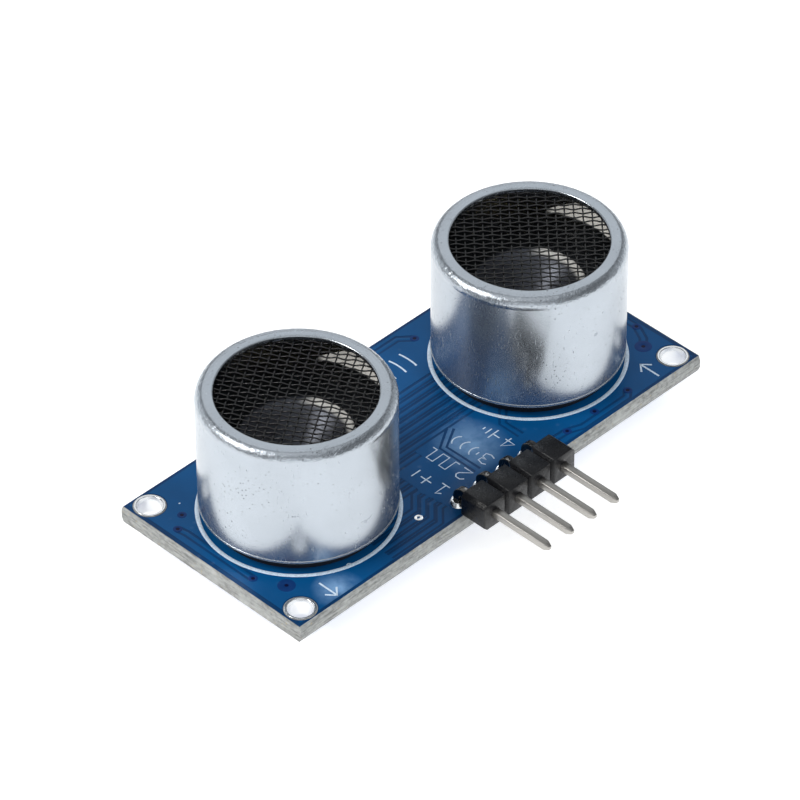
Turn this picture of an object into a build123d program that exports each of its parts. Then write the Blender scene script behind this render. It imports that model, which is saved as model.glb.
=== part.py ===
from build123d import *
import math
import os

# Ultrasonic distance sensor: a small circuit board that carries a transmitting and a
# receiving transducer, a four-pin angled header on its front edge, and its electronics on
# the back face. Sizes are millimetres. +Z is the way the sound leaves, X runs along the
# board with the transmitter at -X, and the header is on the -Y side. The origin is the
# centre of the four mounting holes, on the board's back face.

# Board
BOARD_LENGTH = 45.0
BOARD_WIDTH = 20.0
BOARD_THICKNESS = 1.6
SCORE_INSET = 0.18  # how far the score line's bevel takes in a long edge
SCORE_DEPTH = 0.45  # how deep the score line cuts from each face
MOUNT_INSET_X = 1.55  # hole centre to the short edge
MOUNT_INSET_Y = 1.6  # hole centre to the long edge
MOUNT_HOLE_DIAMETER = 2.1
MOUNT_PAD_WIDTH = 0.2  # width of the bare ring around a mounting hole
PLATING = 0.05
PAD_COPPER = 0.04

# Vias: which corner they are measured from (x sign, y sign), and the distances from its edges
VIA_DRILL = 0.35
VIAS = [
    (-1, 1, 2.55, 4.2),
    (-1, 1, 1.2, 5.15),
    (-1, -1, 1.35, 6.6),
    (-1, -1, 2.6, 4.2),
    (-1, -1, 15.25, 2.45),
    (1, -1, 0.9, 6.2),
    (1, -1, 2.35, 4.1),
    (1, -1, 7.2, 1.3),
    (1, -1, 10.95, 1.4),
    (1, -1, 14.2, 1.3),
    (1, 1, 14.55, 2.05),
]

# Transducers: each stands on the board's front face
TRANSDUCER_SPACING = 25.8
CAN_DIAMETER = 15.8
CAN_HEIGHT = 10.95
CAN_WALL = 0.35
CAN_EDGE_RADIUS = 0.8
CAN_LIP_WIDTH = 1.5  # from the can's side in to the edge of its mouth
BASE_PROUD = 1.05  # how far the base stands out of the can's back
BASE_STEP = 0.45  # how much smaller in radius that proud part is than the can's bore
BASE_FLOOR = 2.4  # thickness of the base inside the can
BASE_FIT = 0.02  # radial clearance between base and can
SEAL_HEIGHT = 0.4
SEAL_OVERHANG = 0.2  # how far the seal bead laps the can's rim
WIRE_DIAMETER = 0.15  # the grille's wire
GRILLE_PITCH_A = 0.53
GRILLE_PITCH_B = 0.73
GRILLE_SKIRT = 0.8
GRILLE_FIT = 0.05
GRILLE_HIDDEN_RIM = 0.4  # how far the openings carry on under the can's lip
GRILLE_TURN = {"transmitter": 34.0, "receiver": 46.0}  # degrees, the way the close wires face
SUPPORT_INNER = 3.2
SUPPORT_WIDTH = 0.8
SUPPORT_HEIGHT = 0.9
SUPPORT_SLOT = 0.6  # gap in the support ring for the inner lead
DIAPHRAGM_RADIUS = 4.3
DIAPHRAGM_THICKNESS = 0.35
PIEZO_RADIUS = 3.0
PIEZO_THICKNESS = 0.4
CONE_FOOT_RADIUS = 1.2
CONE_RIM_RADIUS = 4.5
CONE_HEIGHT = 2.8
CONE_WALL = 0.2
CONE_RIM_FLAT = 0.25
TERMINAL_SPACING = 10.0
TERMINAL_DIAMETER = 0.7
TERMINAL_INNER = 0.7  # stands above the base's floor
TERMINAL_TAIL = 1.3  # stands out of the board's back
TERMINAL_DRILL_FIT = 0.2  # radial clearance of a terminal in the board
LEAD_DIAMETER = 0.16
LEAD_BEND = 0.15
LEAD_ARCH = 0.5  # how high the outer lead passes over the diaphragm
LEAD_LANDING = 0.4  # where it comes down, in from the diaphragm's edge
LEAD_GAP = 0.01  # gap left where a lead meets the side of a terminal

# Header
HEADER_PINS = ["power", "trigger", "echo", "ground"]
HEADER_PITCH = 2.54
HEADER_BODY_DEPTH = 2.5
HEADER_BODY_HEIGHT = 2.5
HEADER_CORNER = 0.35
HEADER_GROOVE_WIDTH = 0.5
HEADER_GROOVE_DEPTH = 0.45
HEADER_HOLE_INSET = 1.5  # hole row to the board's front edge
HEADER_AXIS_HEIGHT = 1.45  # straight part of the pins above the board's front face
HEADER_GAP = 0.02  # board's front edge to the header's body
PIN_SIZE = 0.64
PIN_FIT = 0.01
PIN_REACH = 5.85  # beyond the body
PIN_TAIL = 1.3
PIN_TIP = 0.5
PIN_TIP_SIZE = 0.32
PIN_BEND = 0.62  # radius of the pin's centre line
HEADER_DRILL_FIT = 0.05  # clearance at a pin's corners in the board

# Solder
TERMINAL_PAD_WIDTH = 0.45  # solder beyond the edge of a terminal's drilling
HEADER_PAD_WIDTH = 0.28  # and beyond the edge of a header pin's
SOLDER_HEIGHT = 0.95
SOLDER_FRONT_HEIGHT = 0.35
SOLDER_NECK = 0.12  # solder's thickness around a pin at the top of its fillet
SOLDER_WAIST = 0.3  # how much of the pad's width is left a third of the way up a fillet

# Parts on the back face, standing on z = 0 and pointing down
CHIP_WIDTH = 3.9
CHIP_HEIGHT = 1.45
CHIP_STANDOFF = 0.1
CHIP_LEG_PITCH = 1.27
CHIP_LEG_WIDTH = 0.42
CHIP_LEG_THICKNESS = 0.2
CHIP_LEG_REACH = 1.05  # from the chip's side to the end of the foot
CHIP_LEG_FOOT = 0.6
CHIP_END = 0.515  # from the last leg's centre to the chip's end
CHIP_BEVEL = 0.25
CHIP_DOT = 0.45
CHIP_DOT_DEPTH = 0.08
MIDDLE_CHIP_Y = 0.8
CRYSTAL = (5.0, 3.2, 0.8)
CRYSTAL_LID = (4.4, 2.6, 0.25)
CRYSTAL_EDGE = 2.2  # crystal's centre to the board's rear edge
RESISTOR = (1.6, 0.8, 0.45)
CAPACITOR = (1.6, 0.8, 0.8)
END_CAP = 0.3
TRANSISTOR = (2.9, 1.3, 1.0)
TRANSISTOR_LEG_SPREAD = 0.95
RESISTOR_ROWS = [-6.2, -4.6, -2.4, 2.4, 4.0]  # y of each row, on both sides of the middle chip
CAPACITOR_ROWS = [5.8, 7.4]
OUTER_PASSIVE_GAP = 2.1  # from an outer chip's end to the rows of passives past it
OUTER_RESISTOR_PITCH = 1.4
OUTER_CAPACITOR_PITCH = 1.6
TRANSISTOR_INSET = (2.4, 7.1)  # from the board's corner, at -X and +Y

# Places that follow from those sizes
FRONT = BOARD_THICKNESS
BACK = 0.0
CAN_RADIUS = CAN_DIAMETER / 2
CAN_BORE = CAN_RADIUS - CAN_WALL
MOUTH_RADIUS = CAN_RADIUS - CAN_LIP_WIDTH
BASE_TOP = BASE_PROUD + BASE_FLOOR
CAN_TOP = BASE_PROUD + CAN_HEIGHT
DIAPHRAGM_BOTTOM = BASE_TOP + SUPPORT_HEIGHT
DIAPHRAGM_TOP = DIAPHRAGM_BOTTOM + DIAPHRAGM_THICKNESS
GRILLE_THICKNESS = 2 * WIRE_DIAMETER
HEADER_ROW_Y = -BOARD_WIDTH / 2 + HEADER_HOLE_INSET
HEADER_BACK_Y = -BOARD_WIDTH / 2 - HEADER_GAP
HEADER_FRONT_Y = HEADER_BACK_Y - HEADER_BODY_DEPTH
PIN_AXIS_Z = FRONT + HEADER_AXIS_HEIGHT
PIN_CORNER = PIN_SIZE * math.sqrt(0.5)
HEADER_DRILL_RADIUS = PIN_CORNER + HEADER_DRILL_FIT
TERMINAL_DRILL_RADIUS = TERMINAL_DIAMETER / 2 + TERMINAL_DRILL_FIT
TRANSDUCER_X = {"transmitter": -TRANSDUCER_SPACING / 2, "receiver": TRANSDUCER_SPACING / 2}
HEADER_X = [HEADER_PITCH * (i - (len(HEADER_PINS) - 1) / 2) for i in range(len(HEADER_PINS))]


def upright(radius, bottom, top, x=0.0, y=0.0):
    """A round bar along Z between two heights."""
    middle = Pos(x, y, (bottom + top) / 2)
    return middle * Cylinder(radius, top - bottom)


def ring(outer, inner, bottom, top):
    """A plain tube along Z."""
    return upright(outer, bottom, top) - upright(inner, bottom, top)


def turned(points):
    """A solid turned about Z from the corners of its half section, each (radius, height)."""
    outline = Polyline([(r, 0, z) for r, z in points], close=True)
    return revolve(make_face(outline), Axis.Z)


def group(shapes):
    """Separate solids as one node."""
    return Compound([solid for shape in shapes for solid in shape.solids()])


def mount_points():
    """Centres of the four mounting holes."""
    x = BOARD_LENGTH / 2 - MOUNT_INSET_X
    y = BOARD_WIDTH / 2 - MOUNT_INSET_Y
    return [(i * x, j * y) for i in (-1, 1) for j in (-1, 1)]


def via_points():
    """Centres of the vias, each measured in from its own corner."""
    return [
        (i * (BOARD_LENGTH / 2 - dx), j * (BOARD_WIDTH / 2 - dy)) for i, j, dx, dy in VIAS
    ]


def terminal_points(name):
    """Centres of one transducer's two terminals on the board."""
    return [(TRANSDUCER_X[name] + side * TERMINAL_SPACING / 2, 0.0) for side in (-1, 1)]


# Board


def circuit_board():
    """The laminate, bevelled along its scored long edges and drilled."""
    half = BOARD_WIDTH / 2
    inner = half - SCORE_INSET
    low, high = SCORE_DEPTH, BOARD_THICKNESS - SCORE_DEPTH
    section = [(-inner, 0), (inner, 0), (half, low), (half, high)]
    section += [(inner, FRONT), (-inner, FRONT), (-half, high), (-half, low)]
    outline = Polyline([(-BOARD_LENGTH / 2, y, z) for y, z in section], close=True)
    board = extrude(make_face(outline), BOARD_LENGTH, dir=(1, 0, 0))
    drills = [(x, y, MOUNT_HOLE_DIAMETER / 2 + PLATING) for x, y in mount_points()]
    drills += [(x, y, VIA_DRILL / 2) for x, y in via_points()]
    drills += [(x, HEADER_ROW_Y, HEADER_DRILL_RADIUS) for x in HEADER_X]
    for name in TRANSDUCER_X:
        drills += [(x, y, TERMINAL_DRILL_RADIUS) for x, y in terminal_points(name)]
    return board - [upright(r, -1, FRONT + 1, x, y) for x, y, r in drills]


def mounting_hole_linings():
    """A plated lining with a pad on each face, in every mounting hole."""
    bore = MOUNT_HOLE_DIAMETER / 2
    wall = bore + PLATING
    pad = bore + MOUNT_PAD_WIDTH
    low, high = BACK - PAD_COPPER, FRONT + PAD_COPPER
    section = [(bore, low), (pad, low), (pad, BACK), (wall, BACK)]
    section += [(wall, FRONT), (pad, FRONT), (pad, high), (bore, high)]
    lining = turned(section)
    return group([Pos(x, y, 0) * lining for x, y in mount_points()])


# Transducer pieces, about their own axis, with z = 0 on the board's front face


def can():
    """Drawn cup with a rounded nose and an in-turned lip around its mouth."""
    outer = upright(CAN_RADIUS, BASE_PROUD, CAN_TOP)
    outer = fillet(outer.edges().group_by(Axis.Z)[-1], CAN_EDGE_RADIUS)
    inner = upright(CAN_BORE, BASE_PROUD, CAN_TOP - CAN_WALL)
    inner = fillet(inner.edges().group_by(Axis.Z)[-1], CAN_EDGE_RADIUS - CAN_WALL)
    return outer - inner - upright(MOUTH_RADIUS, BASE_PROUD, CAN_TOP + 1)


def grille(turn):
    """Wire cloth cup under the can's lip: its flat top is open in a grid, its skirt is plain."""
    top = CAN_TOP - CAN_WALL
    radius = CAN_BORE - GRILLE_FIT
    cup = upright(radius, top - GRILLE_THICKNESS - GRILLE_SKIRT, top)
    cup = chamfer(cup.edges().group_by(Axis.Z)[-1], CAN_EDGE_RADIUS - CAN_WALL)
    hollow = radius - GRILLE_THICKNESS
    cup -= upright(hollow, top - GRILLE_THICKNESS - GRILLE_SKIRT, top - GRILLE_THICKNESS)
    gap_a = GRILLE_PITCH_A - WIRE_DIAMETER
    gap_b = GRILLE_PITCH_B - WIRE_DIAMETER
    reach = min(MOUTH_RADIUS + GRILLE_HIDDEN_RIM, hollow) - math.hypot(gap_a, gap_b) / 2
    count_a = math.ceil(reach / GRILLE_PITCH_A)
    count_b = math.ceil(reach / GRILLE_PITCH_B)
    places = [
        (a * GRILLE_PITCH_A, b * GRILLE_PITCH_B)
        for a in range(-count_a, count_a + 1)
        for b in range(-count_b, count_b + 1)
    ]
    windows = Sketch() + [
        Pos(x, y) * Rectangle(gap_a, gap_b) for x, y in places if math.hypot(x, y) < reach
    ]
    windows = Pos(0, 0, top - 2 * GRILLE_THICKNESS) * Rot(0, 0, turn) * windows
    return cup - extrude(windows, 4 * GRILLE_THICKNESS, dir=(0, 0, 1))


def cone():
    """Thin radiating cone with a flat foot and a small flat rim."""
    run = CONE_RIM_RADIUS - CONE_RIM_FLAT - CONE_FOOT_RADIUS
    slant = math.hypot(run, CONE_HEIGHT - CONE_WALL)
    shift = CONE_WALL * (slant - run) / (CONE_HEIGHT - CONE_WALL)
    foot, top = DIAPHRAGM_TOP, DIAPHRAGM_TOP + CONE_HEIGHT
    bend = CONE_RIM_RADIUS - CONE_RIM_FLAT
    return turned(
        [
            (0, foot),
            (CONE_FOOT_RADIUS + shift, foot),
            (bend + shift, top - CONE_WALL),
            (CONE_RIM_RADIUS + shift, top - CONE_WALL),
            (CONE_RIM_RADIUS + shift, top),
            (bend, top),
            (CONE_FOOT_RADIUS, foot + CONE_WALL),
            (0, foot + CONE_WALL),
        ]
    )


def diaphragm():
    """Metal disc that the ceramic bends."""
    return upright(DIAPHRAGM_RADIUS, DIAPHRAGM_BOTTOM, DIAPHRAGM_TOP)


def piezo():
    """Ceramic disc bonded under the diaphragm."""
    return upright(PIEZO_RADIUS, DIAPHRAGM_BOTTOM - PIEZO_THICKNESS, DIAPHRAGM_BOTTOM)


def support():
    """Soft ring that carries the diaphragm, with a slot for the inner lead."""
    body = ring(SUPPORT_INNER + SUPPORT_WIDTH, SUPPORT_INNER, BASE_TOP, DIAPHRAGM_BOTTOM)
    middle = Pos(-SUPPORT_INNER - SUPPORT_WIDTH / 2, 0, BASE_TOP + SUPPORT_HEIGHT / 2)
    return body - middle * Box(2 * SUPPORT_WIDTH, SUPPORT_SLOT, SUPPORT_HEIGHT)


def base():
    """Moulded base that closes the can's back and stands on the board."""
    wide = CAN_BORE - BASE_FIT
    narrow = CAN_BORE - BASE_STEP
    section = [(0, 0), (narrow, 0), (narrow, BASE_PROUD), (wide, BASE_PROUD)]
    body = turned(section + [(wide, BASE_TOP), (0, BASE_TOP)])
    spots = [side * TERMINAL_SPACING / 2 for side in (-1, 1)]
    return body - [upright(TERMINAL_DIAMETER / 2, -1, BASE_TOP + 1, x) for x in spots]


def seal():
    """Bead of sealant in the corner between the base and the can's rim."""
    inner = CAN_BORE - BASE_STEP
    outer = CAN_BORE + SEAL_OVERHANG
    return turned([(inner, BASE_PROUD - SEAL_HEIGHT), (outer, BASE_PROUD), (inner, BASE_PROUD)])


def terminals():
    """The two pins that pass through the base and the board."""
    low = -BOARD_THICKNESS - TERMINAL_TAIL
    top = BASE_TOP + TERMINAL_INNER
    spots = [side * TERMINAL_SPACING / 2 for side in (-1, 1)]
    return group([upright(TERMINAL_DIAMETER / 2, low, top, x) for x in spots])


def lead(points):
    """A fine wire along straight runs with tangent bends."""
    route = FilletPolyline(*points, radius=LEAD_BEND)
    start = Plane(origin=route @ 0, z_dir=route % 0)
    return sweep(start * Circle(LEAD_DIAMETER / 2), path=route)


def leads():
    """One lead runs in under the ceramic, and one arches over onto the diaphragm."""
    terminal = TERMINAL_SPACING / 2
    side = TERMINAL_DIAMETER / 2 + LEAD_GAP
    floor = BASE_TOP + LEAD_DIAMETER
    ceramic = DIAPHRAGM_BOTTOM - PIEZO_THICKNESS
    inner = [
        (side - terminal, 0, floor),
        (-PIEZO_RADIUS / 2, 0, floor),
        (-PIEZO_RADIUS / 2, 0, ceramic),
    ]
    crest = DIAPHRAGM_TOP + LEAD_ARCH
    landing = DIAPHRAGM_RADIUS - LEAD_LANDING
    outer = [
        (terminal, 0, BASE_TOP + TERMINAL_INNER),
        (terminal, 0, crest),
        (landing, 0, crest),
        (landing, 0, DIAPHRAGM_TOP),
    ]
    return group([lead(inner), lead(outer)])


def transducer(name):
    """Every piece of one transducer, placed on the board, by node name."""
    pieces = {
        "can": can(),
        "grille": grille(GRILLE_TURN[name]),
        "cone": cone(),
        "diaphragm": diaphragm(),
        "piezo_disc": piezo(),
        "support_ring": support(),
        "base": base(),
        "seal": seal(),
        "terminals": terminals(),
        "leads": leads(),
    }
    place = Pos(TRANSDUCER_X[name], 0, FRONT)
    return {f"{name}_{key}": place * piece for key, piece in pieces.items()}


# Header


def pin_shaft(x):
    """One square pin: straight out over the board's edge, bent down through the board."""
    shoulder = HEADER_FRONT_Y - PIN_REACH + PIN_TIP
    corners = [(x, shoulder, PIN_AXIS_Z), (x, HEADER_ROW_Y, PIN_AXIS_Z), (x, HEADER_ROW_Y, BACK - PIN_TAIL)]
    route = FilletPolyline(*corners, radius=PIN_BEND)
    start = Plane(origin=corners[0], z_dir=(0, 1, 0), x_dir=(1, 0, 0))
    return sweep(start * Rectangle(PIN_SIZE, PIN_SIZE), path=route)


def header_pin(x):
    """A bent pin with a tapered tip."""
    shoulder = HEADER_FRONT_Y - PIN_REACH + PIN_TIP
    wide = Plane(origin=(x, shoulder, PIN_AXIS_Z), z_dir=(0, -1, 0), x_dir=(1, 0, 0))
    narrow = wide.offset(PIN_TIP)
    tip = loft([wide * Rectangle(PIN_SIZE, PIN_SIZE), narrow * Rectangle(PIN_TIP_SIZE, PIN_TIP_SIZE)])
    return pin_shaft(x) + tip


def header_body():
    """Moulded block, chamfered along its length and grooved between its positions."""
    length = HEADER_PITCH * len(HEADER_PINS)
    middle_y = (HEADER_BACK_Y + HEADER_FRONT_Y) / 2
    block = Box(length, HEADER_BODY_DEPTH, HEADER_BODY_HEIGHT)
    block = chamfer(block.edges().filter_by(Axis.Y), HEADER_CORNER)
    half_width = HEADER_GROOVE_WIDTH / 2
    cuts = []
    for i in range(1, len(HEADER_PINS)):
        x = HEADER_PITCH * (i - len(HEADER_PINS) / 2)
        for turn in range(4):
            reach = (HEADER_BODY_HEIGHT if turn % 2 == 0 else HEADER_BODY_DEPTH) / 2
            wedge = Polyline(
                (-half_width, 0, reach),
                (half_width, 0, reach),
                (0, 0, reach - HEADER_GROOVE_DEPTH),
                close=True,
            )
            cutter = extrude(make_face(wedge), length, dir=(0, 1, 0), both=True)
            cuts.append(Pos(x, 0, 0) * Rot(90 * turn, 0, 0) * cutter)
    hole = PIN_SIZE + 2 * PIN_FIT
    cuts += [Pos(x, 0, 0) * Box(hole, 2 * HEADER_BODY_DEPTH, hole) for x in HEADER_X]
    return Pos(0, middle_y, PIN_AXIS_Z) * (block - cuts)


# Solder joints, each with its own pin's hole


def joint(x, y, drill, rim, neck, front):
    """Solder that fills a drilled hole and rises in a fillet on the back, and on the front if asked."""
    low = BACK - SOLDER_HEIGHT
    pad = drill + rim
    waist = neck + SOLDER_WAIST * (pad - neck)
    section = [(0, low), (neck, low), (waist, low / 3), (pad, BACK)]
    section += [(drill, BACK), (drill, FRONT)]
    if front:
        section += [(pad, FRONT), (neck, FRONT + SOLDER_FRONT_HEIGHT), (0, FRONT + SOLDER_FRONT_HEIGHT)]
    else:
        section += [(0, FRONT)]
    return Pos(x, y, 0) * turned(section)


def transducer_joints(name, pins):
    """The two joints that hold one transducer."""
    neck = TERMINAL_DIAMETER / 2 + SOLDER_NECK
    drill, rim = TERMINAL_DRILL_RADIUS, TERMINAL_PAD_WIDTH
    spots = terminal_points(name)
    return group([joint(x, y, drill, rim, neck, False) - pins for x, y in spots])


def header_joints(pins):
    """The header's joints, with a fillet on both faces."""
    neck = PIN_CORNER + SOLDER_NECK
    drill, rim = HEADER_DRILL_RADIUS, HEADER_PAD_WIDTH
    places = zip(HEADER_X, pins)
    return group([joint(x, HEADER_ROW_Y, drill, rim, neck, True) - pin for x, pin in places])


# Parts on the back face, built standing up on z = 0 and then turned over


def on_back(x, y, shape, turn=0):
    """Turns a part over onto the back face."""
    return Pos(x, y, BACK) * Rot(180, 0, turn) * shape


def chip_length(legs):
    """Length of a chip's moulding, from its number of legs."""
    return (legs / 2 - 1) * CHIP_LEG_PITCH + 2 * CHIP_END


def chip_body(legs):
    """Moulding of a chip, bevelled on top, with a dimple by its first leg."""
    length = chip_length(legs)
    body = Pos(0, 0, CHIP_STANDOFF + CHIP_HEIGHT / 2) * Box(CHIP_WIDTH, length, CHIP_HEIGHT)
    body = chamfer(body.edges().group_by(Axis.Z)[-1], CHIP_BEVEL)
    top = CHIP_STANDOFF + CHIP_HEIGHT
    x = -CHIP_WIDTH / 2 + 2 * CHIP_DOT
    y = length / 2 - 2 * CHIP_DOT
    return body - upright(CHIP_DOT / 2, top - CHIP_DOT_DEPTH, top + 1, x, y)


def chip_legs(legs):
    """Gull-wing legs along both long sides."""
    side = CHIP_WIDTH / 2
    end = side + CHIP_LEG_REACH
    knee = end - CHIP_LEG_FOOT
    high = CHIP_STANDOFF + CHIP_HEIGHT / 2
    thick = CHIP_LEG_THICKNESS
    outline = [(side, high + thick), (side, high), (knee, high), (knee, 0)]
    outline += [(end, 0), (end, thick), (knee + thick, thick), (knee + thick, high + thick)]
    face = make_face(Polyline([(x, 0, z) for x, z in outline], close=True))
    leg = extrude(face, CHIP_LEG_WIDTH / 2, dir=(0, 1, 0), both=True)
    rows = legs // 2
    found = []
    for i in range(rows):
        y = (i - (rows - 1) / 2) * CHIP_LEG_PITCH
        found += [Pos(0, y, 0) * leg, Pos(0, y, 0) * Rot(0, 0, 180) * leg]
    return group(found)


def chips():
    """The three chips: a driver, a controller and an amplifier, each with its legs."""
    layout = {
        "transmit_driver": (16, TRANSDUCER_X["transmitter"], 0.0),
        "controller": (14, 0.0, MIDDLE_CHIP_Y),
        "receive_amplifier": (14, TRANSDUCER_X["receiver"], 0.0),
    }
    nodes = {}
    for name, (legs, x, y) in layout.items():
        nodes[f"{name}_chip"] = on_back(x, y, chip_body(legs))
        nodes[f"{name}_legs"] = on_back(x, y, chip_legs(legs))
    return nodes


def crystal():
    """The clock crystal's ceramic tray and its metal lid."""
    length, width, height = CRYSTAL
    lid_length, lid_width, lid_height = CRYSTAL_LID
    y = BOARD_WIDTH / 2 - CRYSTAL_EDGE
    tray = Pos(0, 0, height / 2) * Box(length, width, height)
    lid = Pos(0, 0, height + lid_height / 2) * Box(lid_length, lid_width, lid_height)
    lid = fillet(lid.edges().filter_by(Axis.Z), lid_height)
    return {"crystal_tray": on_back(0, y, tray), "crystal_lid": on_back(0, y, lid)}


def passive_places():
    """Centre and turn of each resistor, then of each capacitor."""
    column = TRANSDUCER_SPACING / 4
    resistors = [(side * column, y, 0) for side in (-1, 1) for y in RESISTOR_ROWS]
    capacitors = [(side * column, y, 0) for side in (-1, 1) for y in CAPACITOR_ROWS]
    past = chip_length(16) / 2 + OUTER_PASSIVE_GAP
    for x in TRANSDUCER_X.values():
        resistors += [(x + step * OUTER_RESISTOR_PITCH, past, 90) for step in (-1, 0, 1)]
        capacitors += [(x + step * OUTER_CAPACITOR_PITCH, -past, 90) for step in (-1, 0, 1)]
    return resistors, capacitors


def passives(places, size):
    """Bodies and end caps of the two-ended parts at those places."""
    length, width, height = size
    core = Pos(0, 0, height / 2) * Box(length - 2 * END_CAP, width, height)
    cap = Box(END_CAP, width, height)
    ends = [Pos(side * (length - END_CAP) / 2, 0, height / 2) * cap for side in (-1, 1)]
    bodies = [on_back(x, y, core, turn) for x, y, turn in places]
    caps = [on_back(x, y, end, turn) for x, y, turn in places for end in ends]
    return group(bodies), group(caps)


def transistor():
    """Supply switch: a three-legged transistor in the rear corner by the transmitter."""
    length, width, height = TRANSISTOR
    x = -BOARD_LENGTH / 2 + TRANSISTOR_INSET[0]
    y = BOARD_WIDTH / 2 - TRANSISTOR_INSET[1]
    body = Pos(0, 0, CHIP_STANDOFF + height / 2) * Box(length, width, height)
    body = chamfer(body.edges().group_by(Axis.Z)[-1], CHIP_BEVEL / 2)
    leg = Box(CHIP_LEG_WIDTH, CHIP_LEG_FOOT, CHIP_LEG_THICKNESS)
    reach = width / 2 + CHIP_LEG_FOOT / 2
    spots = [(-TRANSISTOR_LEG_SPREAD, -reach), (TRANSISTOR_LEG_SPREAD, -reach), (0, reach)]
    legs = [Pos(i, j, CHIP_LEG_THICKNESS / 2) * leg for i, j in spots]
    return {
        "supply_switch_transistor": on_back(x, y, body, 90),
        "supply_switch_legs": group([on_back(x, y, shape, 90) for shape in legs]),
    }


def sensor():
    """Every node of the sensor, by name."""
    nodes = {
        "circuit_board": circuit_board(),
        "mounting_hole_linings": mounting_hole_linings(),
        "header_body": header_body(),
    }
    pins = [header_pin(x) for x in HEADER_X]
    nodes |= {f"header_pin_{name}": pin for name, pin in zip(HEADER_PINS, pins)}
    nodes["header_solder_joints"] = header_joints(pins)
    for name in TRANSDUCER_X:
        pieces = transducer(name)
        nodes |= pieces
        nodes[f"{name}_solder_joints"] = transducer_joints(name, pieces[f"{name}_terminals"])
    nodes |= chips() | crystal() | transistor()
    resistors, capacitors = passive_places()
    nodes["resistor_bodies"], nodes["resistor_end_caps"] = passives(resistors, RESISTOR)
    nodes["capacitor_bodies"], nodes["capacitor_end_caps"] = passives(capacitors, CAPACITOR)
    return nodes


os.makedirs("parts", exist_ok=True)
for node, shape in sensor().items():
    export_step(shape, f"parts/{node}.step")
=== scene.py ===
"""The ultrasonic distance sensor's looks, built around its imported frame.

Lengths are in metres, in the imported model's own frame: +Z is the way the sound leaves, +X runs from
the transmitter to the receiver, and the header stands on the -Y side.
"""

import logging
import math
from dataclasses import dataclass
from enum import Enum
from typing import Callable, Iterable, Sequence

import bmesh
import bpy
from mathutils import Euler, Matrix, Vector


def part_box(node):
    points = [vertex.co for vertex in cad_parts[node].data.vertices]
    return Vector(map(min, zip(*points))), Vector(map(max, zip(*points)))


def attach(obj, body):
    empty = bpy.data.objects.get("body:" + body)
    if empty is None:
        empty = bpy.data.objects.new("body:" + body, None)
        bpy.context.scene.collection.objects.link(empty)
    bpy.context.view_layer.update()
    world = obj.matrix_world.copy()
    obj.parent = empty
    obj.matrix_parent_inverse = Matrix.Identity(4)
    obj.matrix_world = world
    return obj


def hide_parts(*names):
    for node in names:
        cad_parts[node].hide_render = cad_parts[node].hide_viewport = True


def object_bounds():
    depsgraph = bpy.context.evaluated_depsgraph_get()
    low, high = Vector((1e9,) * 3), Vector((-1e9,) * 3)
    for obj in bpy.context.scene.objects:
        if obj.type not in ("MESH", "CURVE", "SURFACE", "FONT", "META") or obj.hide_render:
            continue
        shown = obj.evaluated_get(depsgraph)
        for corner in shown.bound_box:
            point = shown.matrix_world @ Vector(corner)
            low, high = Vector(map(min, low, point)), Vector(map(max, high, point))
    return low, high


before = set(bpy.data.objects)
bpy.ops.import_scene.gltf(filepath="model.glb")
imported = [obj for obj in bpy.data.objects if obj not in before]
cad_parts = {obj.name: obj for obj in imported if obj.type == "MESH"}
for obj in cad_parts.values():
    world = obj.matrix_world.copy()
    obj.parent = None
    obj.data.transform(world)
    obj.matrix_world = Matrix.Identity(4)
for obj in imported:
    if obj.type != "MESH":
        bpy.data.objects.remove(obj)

log = logging.getLogger("sensor")

MM = 0.001
CAD_BOX = [list(corner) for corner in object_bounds()]
Colour = tuple[float, float, float]
Point = tuple[float, float]

# Which way the close wires of each transducer's grille face, in degrees
CLOTH_TURNS = {"transmitter": 34.0, "receiver": 46.0}
PIN_NAMES = ("power", "trigger", "echo", "ground")

# Painted highlights: the lit patch inside each can's mouth, its glow, and the lit stretch of each cone's
# rim
PAINTED_HIGHLIGHT = (1.0, 0.98, 0.93, 1.0)
PAINTED_GLOW = (1.0, 0.97, 0.9, 1.0)
# Painted shade on the pins where they bend down behind the header
PAINTED_PIN_SHADE = (0.1, 0.095, 0.09, 1.0)
# Painted reflection on the resist near the header and in the front corner
REFLECTION_TINT = (0.22, 0.4, 0.66, 1.0)
MASK_DUST = (0.3, 0.4, 0.5, 1.0)
PLASTIC_SCUFF = (0.16, 0.16, 0.17, 1.0)
BARE_WIRE = (0.06, 0.06, 0.06, 1.0)
RESIN_FLECK = (0.45, 0.36, 0.2, 1.0)
FLOOR_TONES = ((0.8, 0.8, 0.8, 1.0), (0.83, 0.83, 0.83, 1.0))


# ---------------------------------------------------------------------------------------------
# Modelling tools
# ---------------------------------------------------------------------------------------------


class Pick(Enum):
    """The kinds of element that an edit works on."""

    EDGES = "EDGE"
    FACES = "FACE"


def deselect() -> None:
    """Leaves edit mode and deselects everything."""
    if bpy.context.object and bpy.context.object.mode != "OBJECT":
        bpy.ops.object.mode_set(mode="OBJECT")
    bpy.ops.object.select_all(action="DESELECT")


def take(piece: bpy.types.Object) -> bpy.types.Object:
    """Selects one piece alone and makes it active.

    Args:
        piece: The piece to work on.

    Returns:
        The same piece.
    """
    deselect()
    piece.select_set(True)
    bpy.context.view_layer.objects.active = piece
    return piece


def started(name: str) -> bpy.types.Object:
    """Names the primitive that was just added.

    Args:
        name: The piece's name.

    Returns:
        The new piece.
    """
    piece = bpy.context.object
    piece.name = name
    piece.data.name = name
    return piece


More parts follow.
